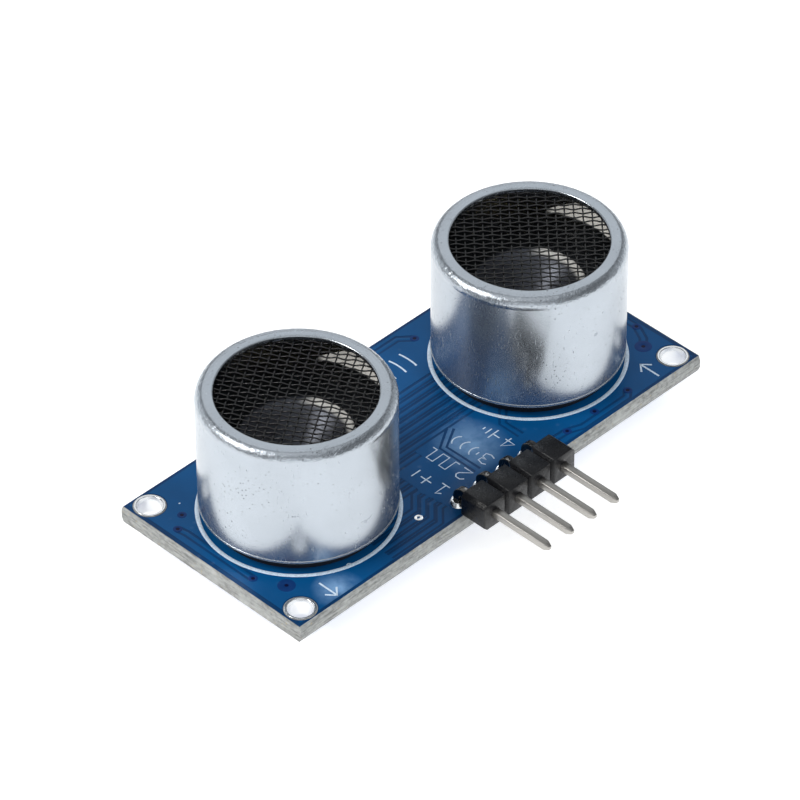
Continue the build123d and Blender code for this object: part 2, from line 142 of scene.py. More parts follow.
def edit(piece: bpy.types.Object, kind: Pick, wanted: Callable[[object], bool]) -> None:
    """Opens a piece for editing, with only the wanted elements selected.

    Args:
        piece: The piece to edit.
        kind: Which kind of element is selected.
        wanted: Says of one element whether it is selected.
    """
    take(piece)
    bpy.ops.object.mode_set(mode="EDIT")
    bpy.ops.mesh.select_mode(type=kind.value)
    bpy.ops.mesh.select_all(action="DESELECT")
    mesh = bmesh.from_edit_mesh(piece.data)
    groups = {Pick.EDGES: mesh.edges, Pick.FACES: mesh.faces}
    for item in groups[kind]:
        item.select_set(bool(wanted(item)))
    mesh.select_flush_mode()
    bmesh.update_edit_mesh(piece.data)


def leave() -> None:
    """Returns the piece in hand to object mode."""
    bpy.ops.object.mode_set(mode="OBJECT")


def apply_place(piece: bpy.types.Object) -> bpy.types.Object:
    """Puts a piece's place, turn and scale into its mesh."""
    take(piece)
    bpy.ops.object.transform_apply(location=True, rotation=True, scale=True)
    return piece


def apply_modifier(piece: bpy.types.Object, kind: str, **settings: object) -> bpy.types.Object:
    """Adds a modifier, sets it and applies it.

    Args:
        piece: The piece that it shapes.
        kind: The modifier's type.
        **settings: Its settings by name.

    Returns:
        The same piece.
    """
    take(piece)
    modifier = piece.modifiers.new(kind.lower(), kind)
    for key, value in settings.items():
        setattr(modifier, key, value)
    bpy.ops.object.modifier_apply(modifier=modifier.name)
    return piece


def smooth(piece: bpy.types.Object, degrees: float = 35.0) -> bpy.types.Object:
    """Shades a piece smooth where its faces meet at less than an angle."""
    take(piece)
    bpy.ops.object.shade_smooth_by_angle(angle=math.radians(degrees))
    return piece


def soften(piece: bpy.types.Object, width: float, segments: int = 2) -> bpy.types.Object:
    """Rounds a piece's sharp edges and shades it smooth.

    Args:
        piece: The piece to round.
        width: The rounding's width.
        segments: How many faces cross each rounded edge.

    Returns:
        The same piece.
    """
    apply_modifier(piece, "BEVEL", width=width, segments=segments, limit_method="ANGLE",
                   angle_limit=math.radians(28), use_clamp_overlap=True, harden_normals=False)
    return smooth(piece)


def slab(name: str, low: Sequence[float], high: Sequence[float]) -> bpy.types.Object:
    """Adds a block between two corners.

    Args:
        name: The piece's name.
        low: Its lowest corner.
        high: Its highest corner.

    Returns:
        The new piece.
    """
    deselect()
    middle = [(a + b) / 2 for a, b in zip(low, high)]
    bpy.ops.mesh.primitive_cube_add(size=1.0, location=middle)
    piece = started(name)
    piece.scale = [b - a for a, b in zip(low, high)]
    return apply_place(piece)


def bar(name: str, centre: Sequence[float], radius: float, bottom: float, top: float,
        sides: int = 32) -> bpy.types.Object:
    """Adds an upright round bar.

    Args:
        name: The piece's name.
        centre: Its axis, as X and Y.
        radius: Its radius.
        bottom: Its lowest height.
        top: Its highest height.
        sides: How many faces go round it.

    Returns:
        The new piece.
    """
    deselect()
    bpy.ops.mesh.primitive_cylinder_add(vertices=sides, radius=radius, depth=top - bottom,
                                        location=(centre[0], centre[1], (bottom + top) / 2))
    return apply_place(started(name))


def turned(name: str, outline: Sequence[Point], centre: Sequence[float], steps: int) -> bpy.types.Object:
    """Spins a half section about an upright axis.

    Args:
        name: The piece's name.
        outline: The section's corners, as radius and height.
        centre: The axis, as X and Y.
        steps: How many faces go round.

    Returns:
        The new piece.
    """
    deselect()
    bpy.ops.mesh.primitive_plane_add(size=MM, location=(centre[0], centre[1], 0.0))
    piece = started(name)
    bpy.ops.object.mode_set(mode="EDIT")
    bpy.ops.mesh.select_mode(type="VERT")
    bpy.ops.mesh.select_all(action="SELECT")
    bpy.ops.mesh.merge(type="CENTER")
    here = (0.0, 0.0)
    for index, (radius, height) in enumerate(outline):
        step = (radius - here[0], 0.0, height - here[1])
        if index == 0:
            bpy.ops.transform.translate(value=step)
        else:
            bpy.ops.mesh.extrude_region_move(TRANSFORM_OT_translate={"value": step})
        here = (radius, height)
    mesh = bmesh.from_edit_mesh(piece.data)
    for vert in mesh.verts:
        vert.select_set(len(vert.link_edges) < 2)
    bmesh.update_edit_mesh(piece.data)
    bpy.ops.mesh.edge_face_add()
    bpy.ops.mesh.select_all(action="SELECT")
    bpy.ops.mesh.spin(steps=steps, angle=math.tau, center=(centre[0], centre[1], 0.0), axis=(0, 0, 1))
    bpy.ops.mesh.select_all(action="SELECT")
    bpy.ops.mesh.remove_doubles(threshold=0.0005 * MM)
    bpy.ops.mesh.normals_make_consistent(inside=False)
    leave()
    return smooth(apply_place(piece))


def in_mm(*points: Point) -> list[Point]:
    """Points that are given in millimetres."""
    return [(x * MM, y * MM) for x, y in points]


def arc(middle: Point, radius: float, start: float, end: float, steps: int) -> list[Point]:
    """Points along a round stretch of a section or a line.

    Args:
        middle: The arc's centre.
        radius: Its radius.
        start: Its first angle, in degrees.
        end: Its last angle.
        steps: How many faces cross it.

    Returns:
        The points in order.
    """
    turns = [math.radians(start + (end - start) * i / steps) for i in range(steps + 1)]
    return [(middle[0] + radius * math.cos(t), middle[1] + radius * math.sin(t)) for t in turns]


def cut(piece: bpy.types.Object, cutters: Iterable[bpy.types.Object]) -> bpy.types.Object:
    """Cuts pieces out of another, and deletes them.

    Args:
        piece: The piece that is cut.
        cutters: What is taken out of it.

    Returns:
        The cut piece.
    """
    joined = join("cutter", list(cutters))
    apply_modifier(piece, "BOOLEAN", object=joined, operation="DIFFERENCE", solver="EXACT",
                   use_self=True)
    bpy.data.objects.remove(joined)
    return piece


def join(name: str, pieces: Sequence[bpy.types.Object]) -> bpy.types.Object:
    """Joins pieces into one mesh.

    Args:
        name: The joined piece's name.
        pieces: What is joined.

    Returns:
        The joined piece.
    """
    take(pieces[0])
    for piece in pieces:
        piece.select_set(True)
    if len(pieces) > 1:
        bpy.ops.object.join()
    return started(name)


def copied(piece: bpy.types.Object, name: str, shift: Sequence[float]) -> bpy.types.Object:
    """Copies a piece with its own mesh, and shifts the copy.

    Args:
        piece: What is copied.
        name: The copy's name.
        shift: How far it moves.

    Returns:
        The copy.
    """
    take(piece)
    bpy.ops.object.duplicate(linked=False)
    new = started(name)
    new.location = shift
    return apply_place(new)


def meshed(curve: bpy.types.Curve, name: str) -> bpy.types.Object:
    """Turns a curve into a mesh piece."""
    piece = bpy.data.objects.new(name, curve)
    bpy.context.scene.collection.objects.link(piece)
    take(piece)
    bpy.ops.object.convert(target="MESH")
    return started(name)


def round_wire(name: str, width: float, resolution: int) -> bpy.types.Curve:
    """Starts a curve that is as thick as a wire."""
    curve = bpy.data.curves.new(name, "CURVE")
    curve.dimensions = "3D"
    curve.bevel_depth = width / 2
    curve.bevel_resolution = resolution
    return curve


def strokes(name: str, lines: Iterable[Sequence[Point]], width: float, height: float,
            level: float, facing: float = 1.0) -> bpy.types.Object:
    """Draws raised lines on a face of the board.

    Args:
        name: The piece's name.
        lines: Each line's points, as X and Y.
        width: How wide a line is.
        height: How far it stands out.
        level: The height of the face that it is on.
        facing: 1 on a face that looks up, -1 on one that looks down, and 0 to centre the lines on it.

    Returns:
        The lines as one mesh.
    """
    curve = round_wire(name, width, 1)
    curve.use_fill_caps = True
    for line in lines:
        spline = curve.splines.new("POLY")
        spline.points.add(len(line) - 1)
        for point, (x, y) in zip(spline.points, line):
            point.co = (x, y, 0.0, 1.0)
    piece = meshed(curve, name)
    piece.scale = (1.0, 1.0, 2 * height / width)
    piece.location = (0.0, 0.0, level - facing * 0.3 * height)
    return smooth(apply_place(piece), 50)


def merged_copy(node: str, name: str, rounding: float, segments: int = 2) -> bpy.types.Object:
    """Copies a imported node, welds its triangles and rounds its edges.

    Args:
        node: The node that the piece stands for.
        name: The piece's name.
        rounding: The width of its rounded edges, or 0.
        segments: How many faces cross each rounded edge.

    Returns:
        The new piece.
    """
    take(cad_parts[node])
    bpy.ops.object.duplicate(linked=False)
    piece = started(name)
    bpy.ops.object.mode_set(mode="EDIT")
    bpy.ops.mesh.select_all(action="SELECT")
    bpy.ops.mesh.remove_doubles(threshold=0.001 * MM)
    bpy.ops.mesh.dissolve_limited(angle_limit=math.radians(2))
    leave()
    piece.data.materials.clear()
    if rounding:
        soften(piece, rounding, segments)
    return smooth(piece)


def fit(piece: bpy.types.Object, finish: "Finish",
        nodes: Sequence[str] = ()) -> bpy.types.Object:
    """Dresses a piece and ties it to the frame.

    Args:
        piece: The finished piece.
        finish: What it is made of.
        nodes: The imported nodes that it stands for.

    Returns:
        The same piece.
    """
    piece.data.materials.clear()
    piece.data.materials.append(finish.material())
    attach(piece, "root")
    if nodes:
        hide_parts(*nodes)
    log.info("%s: %d faces", piece.name, len(piece.data.polygons))
    return piece


# ---------------------------------------------------------------------------------------------
# Finishes
# ---------------------------------------------------------------------------------------------


class Sum(Enum):
    """The steps of arithmetic that the materials use."""

    ADD = "ADD"
    TAKE = "SUBTRACT"
    TIMES = "MULTIPLY"
    BELOW = "LESS_THAN"
    ABOVE = "GREATER_THAN"
    LARGER = "MAXIMUM"
    SIGN = "SIGN"


class Nodes:
    """Adds and links the nodes of one tree."""

    def __init__(self, tree: bpy.types.NodeTree) -> None:
        """Keeps the tree.

        Args:
            tree: The tree to fill.
        """
        self.tree = tree

    def add(self, kind: str, settings: dict[str, object] | None = None,
            **inputs: object) -> bpy.types.Node:
        """Adds a node.

        Args:
            kind: Its type, such as ShaderNodeMix.
            settings: Its own settings by name.
            **inputs: A value or an output for each named input, with _ for a space.

        Returns:
            The new node.
        """
        node = self.tree.nodes.new(kind)
        for key, value in (settings or {}).items():
            setattr(node, key, value)
        for key, value in inputs.items():
            self.put(node.inputs[key.replace("_", " ")], value)
        return node

    def put(self, socket: bpy.types.NodeSocket, value: object) -> None:
        """Sets an input, or links an output to it."""
        if isinstance(value, bpy.types.NodeSocket):
            self.tree.links.new(value, socket)
        else:
            socket.default_value = value

    def places(self, scale: Sequence[float] = (1, 1, 1)) -> bpy.types.NodeSocket:
        """The object's own coordinates, stretched along each axis."""
        where = self.add("ShaderNodeTexCoord").outputs["Object"]
        if tuple(scale) == (1, 1, 1):
            return where
        return self.add("ShaderNodeMapping", Vector=where, Scale=scale).outputs["Vector"]

    def noise(self, vector: bpy.types.NodeSocket, scale: float, detail: float = 3.0,
              roughness: float = 0.5) -> bpy.types.NodeSocket:
        """A cloudy value from 0 to 1."""
        return self.add("ShaderNodeTexNoise", Vector=vector, Scale=scale, Detail=detail,
                        Roughness=roughness).outputs["Fac"]

    def ramp(self, value: bpy.types.NodeSocket, low: float, high: float, start: float = 0.0,
             end: float = 1.0) -> bpy.types.NodeSocket:
        """Maps a value's span onto another, clamped."""
        node = self.add("ShaderNodeMapRange", {"clamp": True}, Value=value)
        node.inputs["From Min"].default_value = low
        node.inputs["From Max"].default_value = high
        node.inputs["To Min"].default_value = start
        node.inputs["To Max"].default_value = end
        return node.outputs["Result"]

    def blend(self, mask: object, first: object, second: object) -> bpy.types.NodeSocket:
        """Mixes two colours by a mask."""
        node = self.add("ShaderNodeMix", {"data_type": "RGBA"})
        self.put(node.inputs[0], mask)
        self.put(node.inputs[6], first)
        self.put(node.inputs[7], second)
        return node.outputs[2]

    def over(self, socket: bpy.types.NodeSocket, mask: object, colour: object) -> None:
        """Blends a colour over what already feeds an input."""
        self.put(socket, self.blend(mask, socket.links[0].from_socket, colour))

    def sum(self, step: Sum, first: object, second: object = 0.0) -> bpy.types.NodeSocket:
        """Works out one value from two others."""
        node = self.add("ShaderNodeMath", {"operation": step.value})
        self.put(node.inputs[0], first)
        self.put(node.inputs[1], second)
        return node.outputs[0]

    def plus(self, first: object, second: object) -> bpy.types.NodeSocket:
        """The first value with the second added."""
        return self.sum(Sum.ADD, first, second)

    def minus(self, first: object, second: object) -> bpy.types.NodeSocket:
        """The first value with the second taken away."""
        return self.sum(Sum.TAKE, first, second)

    def times(self, first: object, *others: object) -> bpy.types.NodeSocket:
        """The product of all the values."""
        for other in others:
            first = self.sum(Sum.TIMES, first, other)
        return first

    def bump(self, height: object, depth: float) -> bpy.types.NodeSocket:
        """A normal from a height."""
        return self.add("ShaderNodeBump", Height=height, Distance=depth).outputs[0]

    def split(self, vector: bpy.types.NodeSocket) -> dict:
        """A vector's X, Y and Z."""
        return self.add("ShaderNodeSeparateXYZ", Vector=vector).outputs


def shared(name: str, inputs: dict[str, float], outputs: Sequence[str],
           fill: Callable[[Nodes, dict, dict], None]) -> bpy.types.NodeTree:
    """Builds a node group once, and finds it after that.

    Args:
        name: The group's name.
        inputs: Its inputs' names and first values.
        outputs: Its outputs' names.
        fill: Fills it, from its nodes, its inputs and its outputs.

    Returns:
        The group.
    """
    if name in bpy.data.node_groups:
        return bpy.data.node_groups[name]
    group = bpy.data.node_groups.new(name, "ShaderNodeTree")
    for key, value in inputs.items():
        socket = group.interface.new_socket(name=key, in_out="INPUT", socket_type="NodeSocketFloat")
        socket.default_value = value
    for key in outputs:
        group.interface.new_socket(name=key, in_out="OUTPUT", socket_type="NodeSocketFloat")
    nodes = Nodes(group)
    source = nodes.add("NodeGroupInput").outputs
    sink = nodes.add("NodeGroupOutput").inputs
    fill(nodes, source, sink)
    return group


def fill_pits(nodes: Nodes, source: dict, sink: dict) -> None:
    """Fills the pits group: small dark specks, a few larger marks, and their depth.

    Args:
        nodes: The group's nodes.
        source: The group's inputs.
        sink: The group's outputs.
    """
    where = nodes.places()
    cells = nodes.add("ShaderNodeTexVoronoi", {"feature": "F1"}, Vector=where)
    nodes.put(cells.inputs["Scale"], source["Scale"])
    near = nodes.ramp(cells.outputs["Distance"], 0.05, 0.22, 1.0, 0.0)
    patches = nodes.ramp(nodes.noise(where, 420.0, 4.0, 0.6), 0.46, 0.66)
    mask = nodes.times(near, patches, source["Amount"])
    nodes.put(sink["Mask"], mask)
    nodes.put(sink["Height"], nodes.minus(1.0, mask))


def fill_grain(nodes: Nodes, source: dict, sink: dict) -> None:
    """Fills the grain group: a fine all-over grain with a slow cloud over it.

    Args:
        nodes: The group's nodes.
        source: The group's inputs.
        sink: The group's outputs.
    """
    where = nodes.places()
    fine = nodes.add("ShaderNodeTexNoise", Vector=where, Detail=5.0, Roughness=0.65)
    nodes.put(fine.inputs["Scale"], source["Scale"])
    slow = nodes.noise(where, 260.0, 3.0, 0.5)
    nodes.put(sink["Fine"], fine.outputs["Fac"])
    nodes.put(sink["Slow"], slow)


def fill_scratches(nodes: Nodes, source: dict, sink: dict) -> None:
    """Fills the scratches group: short fine lines in two directions, thinned by a cloud.

    Args:
        nodes: The group's nodes.
        source: The group's inputs.
        sink: The group's outputs.
    """
    total = None
    for turn in (0.5, 2.1):
        where = nodes.add("ShaderNodeTexCoord").outputs["Object"]
        turned_place = nodes.add("ShaderNodeMapping", Vector=where, Rotation=(0.4, 0.3, turn),
                                 Scale=(1.0, 14.0, 1.6)).outputs["Vector"]
        lines = nodes.add("ShaderNodeTexNoise", Vector=turned_place, Detail=2.0)
        nodes.put(lines.inputs["Scale"], source["Scale"])
        mark = nodes.ramp(lines.outputs["Fac"], 0.68, 0.74)
        total = mark if total is None else nodes.sum(Sum.LARGER, total, mark)
    thin = nodes.ramp(nodes.noise(nodes.places(), 330.0), 0.45, 0.6)
    mask = nodes.times(total, thin, source["Amount"])
    nodes.put(sink["Mask"], mask)


def pits(nodes: Nodes, scale: float, amount: float) -> bpy.types.Node:
    """Places the pits group in a material."""
    tree = shared("pits", {"Scale": 4000.0, "Amount": 1.0}, ("Mask", "Height"), fill_pits)
    return nodes.add("ShaderNodeGroup", {"node_tree": tree}, Scale=scale, Amount=amount)


def grain(nodes: Nodes, scale: float) -> bpy.types.Node:
    """Places the grain group in a material."""
    tree = shared("grain", {"Scale": 9000.0}, ("Fine", "Slow"), fill_grain)
    return nodes.add("ShaderNodeGroup", {"node_tree": tree}, Scale=scale)


def scratches(nodes: Nodes, scale: float, amount: float) -> bpy.types.Node:
    """Places the scratches group in a material."""
    tree = shared("scratches", {"Scale": 700.0, "Amount": 1.0}, ("Mask",), fill_scratches)
    return nodes.add("ShaderNodeGroup", {"node_tree": tree}, Scale=scale, Amount=amount)


@dataclass(frozen=True)
class Finish:
    """What every finish shares: a name, a colour and a gloss."""

    name: str
    colour: Colour
    roughness: float = 0.5

    def material(self) -> bpy.types.Material:
        """Makes the material once, and finds it after that.

        Returns:
            The material.
        """
        name = f"{self.name}_finish"
        if name in bpy.data.materials:
            return bpy.data.materials[name]
        material = bpy.data.materials.new(name)
        material.use_nodes = True
        nodes = Nodes(material.node_tree)
        self.dress(nodes, material.node_tree.nodes["Principled BSDF"])
        material.diffuse_color = (*self.colour, 1.0)
        return material

    def tone(self, strength: float) -> tuple[float, float, float, float]:
        """The colour made darker or lighter."""
        return (*(min(1.0, part * strength) for part in self.colour), 1.0)

    def gloss(self, nodes: Nodes, shader: bpy.types.Node, mask: bpy.types.NodeSocket, more: float = 0.12,
              less: float = 0.0) -> None:
        """Varies the gloss by a mask.

        Args:
            nodes: The material's nodes.
            shader: Its shader.
            mask: A cloudy value.
            more: How much the roughness rises where the mask is high.
            less: How much it falls where the mask is low.
        """
        rough = nodes.ramp(mask, 0.3, 0.7, self.roughness - less, self.roughness + more)
        nodes.put(shader.inputs["Roughness"], rough)

    def dress(self, nodes: Nodes, shader: bpy.types.Node) -> None:
        """Fills the material's nodes.

        Args:
            nodes: The material's nodes.
            shader: Its shader.
        """
        raise NotImplementedError


@dataclass(frozen=True)
class SatinMetal(Finish):
    """Bare metal with a fine grain, small pits and light scratches."""

    spread: float = 0.08
    pitting: float = 1.0
    scratching: float = 1.0
    grain_depth: float = 0.004 * MM
    fine: float = 1.0
    mottle: float = 0.0

    def dress(self, nodes: Nodes, shader: bpy.types.Node) -> None:
        """Fills the material's nodes.

        Args:
            nodes: The material's nodes.
            shader: Its shader.
        """
        texture = grain(nodes, 8000.0)
        marks = pits(nodes, 2600.0, self.pitting).outputs
        lines = scratches(nodes, 900.0, self.scratching).outputs["Mask"]
        slow = nodes.ramp(texture.outputs["Slow"], 0.35, 0.65)
        base = nodes.blend(slow, self.tone(0.93), self.tone(1.0))
        speckle = nodes.ramp(texture.outputs["Fine"], 0.3, 0.5, 0.5, 0.0)
        base = nodes.blend(speckle, base, self.tone(0.82))
        base = nodes.blend(nodes.times(marks["Mask"], 0.75), base, self.tone(0.25))
        nodes.put(shader.inputs["Base Color"], base)
        rough = nodes.ramp(texture.outputs["Fine"], 0.3, 0.7, self.roughness - self.spread,
                           self.roughness + self.spread)
        rough = nodes.plus(rough, nodes.times(lines, 0.25))
        nodes.put(shader.inputs["Roughness"], rough)
        shader.inputs["Metallic"].default_value = 1.0
        height = nodes.plus(nodes.times(texture.outputs["Fine"], self.fine),
                            nodes.times(marks["Height"], 1.5))
        height = nodes.minus(height, nodes.times(lines, 1.2))
        height = nodes.plus(height, nodes.times(texture.outputs["Slow"], self.mottle))
        nodes.put(shader.inputs["Normal"], nodes.bump(height, self.grain_depth))


@dataclass(frozen=True)
class PinWithPaintedShade(SatinMetal):
    """Tinned wire that is glossier, and darkened with painted shade, where it bends down behind the header.
    """

    # From here along Y the painted shade starts, and from there on it is full
    shaded_span: tuple[float, float] = (-10.1 * MM, -9.7 * MM)

    def dress(self, nodes: Nodes, shader: bpy.types.Node) -> None:
        """Fills the material's nodes.

        Args:
            nodes: The material's nodes.
            shader: Its shader.
        """
        super().dress(nodes, shader)
        place = nodes.split(nodes.places())
        # Painted shade: darker and glossier where the pins bend behind the header body
        painted_shade = nodes.ramp(place["Y"], *self.shaded_span)
        nodes.over(shader.inputs["Base Color"], painted_shade, PAINTED_PIN_SHADE)
        rough = shader.inputs["Roughness"].links[0].from_socket
        nodes.put(shader.inputs["Roughness"], nodes.minus(rough, nodes.times(painted_shade, 0.16)))


def off_axis(nodes: Nodes, offset: float) -> tuple[dict, bpy.types.NodeSocket, bpy.types.NodeSocket]:
    """Measures a point from the axis of the can that it belongs to.

    Args:
        nodes: The material's nodes.
        offset: Each axis's distance from the origin, along X.

    Returns:
        The point's parts, the vector out from the axis, and its length.
    """
    place = nodes.split(nodes.places())
    axis = nodes.times(nodes.sum(Sum.SIGN, place["X"]), offset)
    across = nodes.minus(place["X"], axis)
    flat = nodes.add("ShaderNodeCombineXYZ", X=across, Y=place["Y"]).outputs[0]
    length = nodes.add("ShaderNodeVectorMath", {"operation": "LENGTH"})
    nodes.put(length.inputs[0], flat)
    return place, flat, length.outputs["Value"]


@dataclass(frozen=True)
class RimmedCone(SatinMetal):
    """Metal with a painted highlight on a stretch of its rolled rim."""

    axis_offset: float = 12.9 * MM
    rim: float = 3.9 * MM
    highlight_span: tuple[float, float] = (-3.6 * MM, 2.9 * MM)

    def dress(self, nodes: Nodes, shader: bpy.types.Node) -> None:
        """Fills the material's nodes.

        Args:
            nodes: The material's nodes.
            shader: Its shader.
        """
        super().dress(nodes, shader)
        _, flat, radius = off_axis(nodes, self.axis_offset)
        out = nodes.split(flat)
        near, far = self.highlight_span
        side = nodes.times(nodes.ramp(out["Y"], near, near + 1.5 * MM),
                           nodes.ramp(out["Y"], far - MM, far, 1.0, 0.0), nodes.sum(Sum.ABOVE, out["X"]))
        # Painted highlight: the lit stretch of the rim is pale and barely metallic
        painted_highlight = nodes.times(nodes.ramp(radius, self.rim - 0.1 * MM, self.rim + 0.2 * MM), side)
        nodes.over(shader.inputs["Base Color"], painted_highlight, PAINTED_HIGHLIGHT)
        nodes.put(shader.inputs["Metallic"], nodes.ramp(painted_highlight, 0.0, 1.0, 1.0, 0.1))


@dataclass(frozen=True)
class DrawnCan(SatinMetal):
    """Drawn sheet that is light outside, with a painted lit patch inside its mouth that also glows."""

    axis_offset: float = 12.9 * MM
    bore: float = 7.6 * MM
    band: tuple[float, float] = (10.45 * MM, 12.0 * MM)
    mark: tuple[float, float] = (-1.6 * MM, 4.2 * MM)
    dip: float = 1.9 * MM
    bloom: float = 0.1
    painted_glow: float = 0.22
    nose: tuple[float, float] = (12.65 * MM, 12.95 * MM)
    nose_reach: tuple[float, float] = (7.0 * MM, 7.25 * MM)
    dent: float = 0.08 * MM

    def dress(self, nodes: Nodes, shader: bpy.types.Node) -> None:
        """Fills the material's nodes.

        Args:
            nodes: The material's nodes.
            shader: Its shader.
        """
        super().dress(nodes, shader)
        place, flat, radius = off_axis(nodes, self.axis_offset)
        # Painted highlight: a pale lit patch on the inner wall, less metallic and faintly glowing
        mark = self.painted_patch(nodes, place["Z"], nodes.split(flat), radius)
        outside = nodes.sum(Sum.ABOVE, radius, self.bore)
        dull_and_painted_patch = nodes.plus(nodes.times(outside, self.bloom), mark)
        nodes.put(shader.inputs["Metallic"], nodes.minus(1.0, dull_and_painted_patch))
        nodes.over(shader.inputs["Base Color"], mark, PAINTED_HIGHLIGHT)
        shader.inputs["Emission Color"].default_value = PAINTED_GLOW
        nodes.put(shader.inputs["Emission Strength"], nodes.times(mark, self.painted_glow))
        nose = nodes.times(nodes.ramp(place["Z"], *self.nose), nodes.ramp(radius, *self.nose_reach))
        dents = nodes.times(nodes.noise(nodes.places(), 2100.0, 4.0, 0.65), nose)
        plain = shader.inputs["Normal"].links[0].from_socket
        dented = nodes.add("ShaderNodeBump", Height=dents, Distance=self.dent, Normal=plain)
        nodes.put(shader.inputs["Normal"], dented.outputs[0])

    def painted_patch(self, nodes: Nodes, height: bpy.types.NodeSocket, out: dict,
               radius: bpy.types.NodeSocket) -> bpy.types.NodeSocket:
        """Finds the painted lit patch on the inner wall: a band that dips at its far end.

        Args:
            nodes: The material's nodes.
            height: A point's height.
            out: The parts of the vector to it from the can's axis.
            radius: How long that vector is.

        Returns:
            1 in the painted patch, and 0 out of it.
        """
        near, far = self.mark
        low, high = self.band
        inside = nodes.times(nodes.sum(Sum.BELOW, radius, self.bore), nodes.sum(Sum.ABOVE, out["X"]))
        side = nodes.times(nodes.ramp(out["Y"], near - MM, near),
                           nodes.ramp(out["Y"], far - 0.5 * MM, far, 1.0, 0.0))
        ceiling = nodes.ramp(out["Y"], self.dip, far, high, low + 0.2 * MM)
        level = nodes.times(nodes.ramp(height, low - 0.12 * MM, low), nodes.sum(Sum.BELOW, height, ceiling))
        return nodes.times(inside, level, side)


@dataclass(frozen=True)
class BlackWire(Finish):
    """Blackened wire, with bare metal showing where it rubs."""

    def dress(self, nodes: Nodes, shader: bpy.types.Node) -> None:
        """Fills the material's nodes.

        Args:
            nodes: The material's nodes.
            shader: Its shader.
        """
        texture = grain(nodes, 12000.0).outputs
        worn = nodes.ramp(texture["Fine"], 0.66, 0.74)
        nodes.put(shader.inputs["Base Color"], nodes.blend(worn, self.tone(1.0), BARE_WIRE))
        self.gloss(nodes, shader, texture["Slow"])
        shader.inputs["Specular IOR Level"].default_value = 0.7
        nodes.put(shader.inputs["Normal"], nodes.bump(texture["Fine"], 0.006 * MM))


@dataclass(frozen=True)
class SolderMask(Finish):
    """Glossy resist over copper or laminate, a little uneven, with dust in it."""

    dark: float = 0.6
    painted_reflection: float = 0.0
    reflection_spots: Sequence[tuple[tuple[float, float, float], float]] = (
        ((1.6 * MM, -4.4 * MM, 1.6 * MM), 3.4 * MM),
        ((-17.4 * MM, -8.9 * MM, 1.6 * MM), 2.2 * MM),
    )

    def dress(self, nodes: Nodes, shader: bpy.types.Node) -> None:
        """Fills the material's nodes.

        Args:
            nodes: The material's nodes.
            shader: Its shader.
        """
        where = nodes.places()
        texture = grain(nodes, 5000.0).outputs
        cloud = nodes.ramp(nodes.noise(where, 130.0, 4.0, 0.55), 0.3, 0.7)
        base = nodes.blend(cloud, self.tone(self.dark), self.tone(1.1))
        dust = pits(nodes, 900.0, 0.5).outputs["Mask"]
        nodes.put(shader.inputs["Base Color"], nodes.blend(nodes.times(dust, 0.2), base, MASK_DUST))
        self.gloss(nodes, shader, texture["Fine"], 0.1)
        shader.inputs["Specular IOR Level"].default_value = 0.14
        height = nodes.plus(texture["Fine"], nodes.times(texture["Slow"], 2.0))
        nodes.put(shader.inputs["Normal"], nodes.bump(height, 0.004 * MM))
        if self.painted_reflection:
            self.add_painted_reflection(nodes, shader)

    def add_painted_reflection(self, nodes: Nodes, shader: bpy.types.Node) -> None:
        """Adds a painted reflection: a pale blue glare on the resist by the header and in the front corner.

        Args:
            nodes: The material's nodes.
            shader: Its shader.
        """
        where = nodes.places()
        total = None
        for place, reach in self.reflection_spots:
            gap = nodes.add("ShaderNodeVectorMath", {"operation": "DISTANCE"})
            nodes.put(gap.inputs[0], where)
            nodes.put(gap.inputs[1], place)
            spot = nodes.ramp(gap.outputs["Value"], 0.15 * reach, reach, 1.0, 0.0)
            total = spot if total is None else nodes.sum(Sum.LARGER, total, spot)
        broken = nodes.ramp(nodes.noise(where, 420.0, 4.0, 0.6), 0.36, 0.6, 0.25, 1.0)
        # Painted reflection, broken up by a cloud
        mask = nodes.times(total, broken, self.painted_reflection)
        nodes.over(shader.inputs["Base Color"], mask, REFLECTION_TINT)


@dataclass(frozen=True)
class LaminateEdge(Finish):
    """Broken glass laminate: pale fibres along the board, dark resin and loose ends between."""

    def dress(self, nodes: Nodes, shader: bpy.types.Node) -> None:
        """Fills the material's nodes.

        Args:
            nodes: The material's nodes.
            shader: Its shader.
        """
        layers = nodes.noise(nodes.places((0.35, 0.35, 3.5)), 1700.0, 4.0, 0.65)
        chips = nodes.noise(nodes.places((1.0, 1.0, 1.4)), 2300.0, 5.0, 0.7)
        broad = nodes.noise(nodes.places(), 420.0, 3.0, 0.6)
        mix = nodes.plus(nodes.times(layers, 0.5), nodes.times(chips, 0.5))
        base = nodes.blend(nodes.ramp(mix, 0.38, 0.6), self.tone(0.38), self.tone(1.0))
        base = nodes.blend(nodes.ramp(broad, 0.5, 0.7, 0.0, 0.5), base, self.tone(1.25))
        flecks = nodes.ramp(nodes.noise(nodes.places(), 3400.0, 2.0), 0.66, 0.72)
        nodes.put(shader.inputs["Base Color"], nodes.blend(nodes.times(flecks, 0.5), base, RESIN_FLECK))
        nodes.put(shader.inputs["Roughness"], nodes.ramp(chips, 0.3, 0.7, self.roughness, 0.95))
        nodes.put(shader.inputs["Normal"], nodes.bump(mix, 0.12 * MM))


@dataclass(frozen=True)
class PrintedInk(Finish):
    """Screen-printed ink, thin and slightly broken."""

    def dress(self, nodes: Nodes, shader: bpy.types.Node) -> None:
        """Fills the material's nodes.

        Args:
            nodes: The material's nodes.
            shader: Its shader.
        """
        texture = grain(nodes, 7000.0).outputs
        base = nodes.blend(nodes.ramp(texture["Fine"], 0.35, 0.6), self.tone(0.72), self.tone(1.0))
        nodes.put(shader.inputs["Base Color"], base)
        self.gloss(nodes, shader, texture["Slow"], 0.15)
        nodes.put(shader.inputs["Normal"], nodes.bump(texture["Fine"], 0.006 * MM))


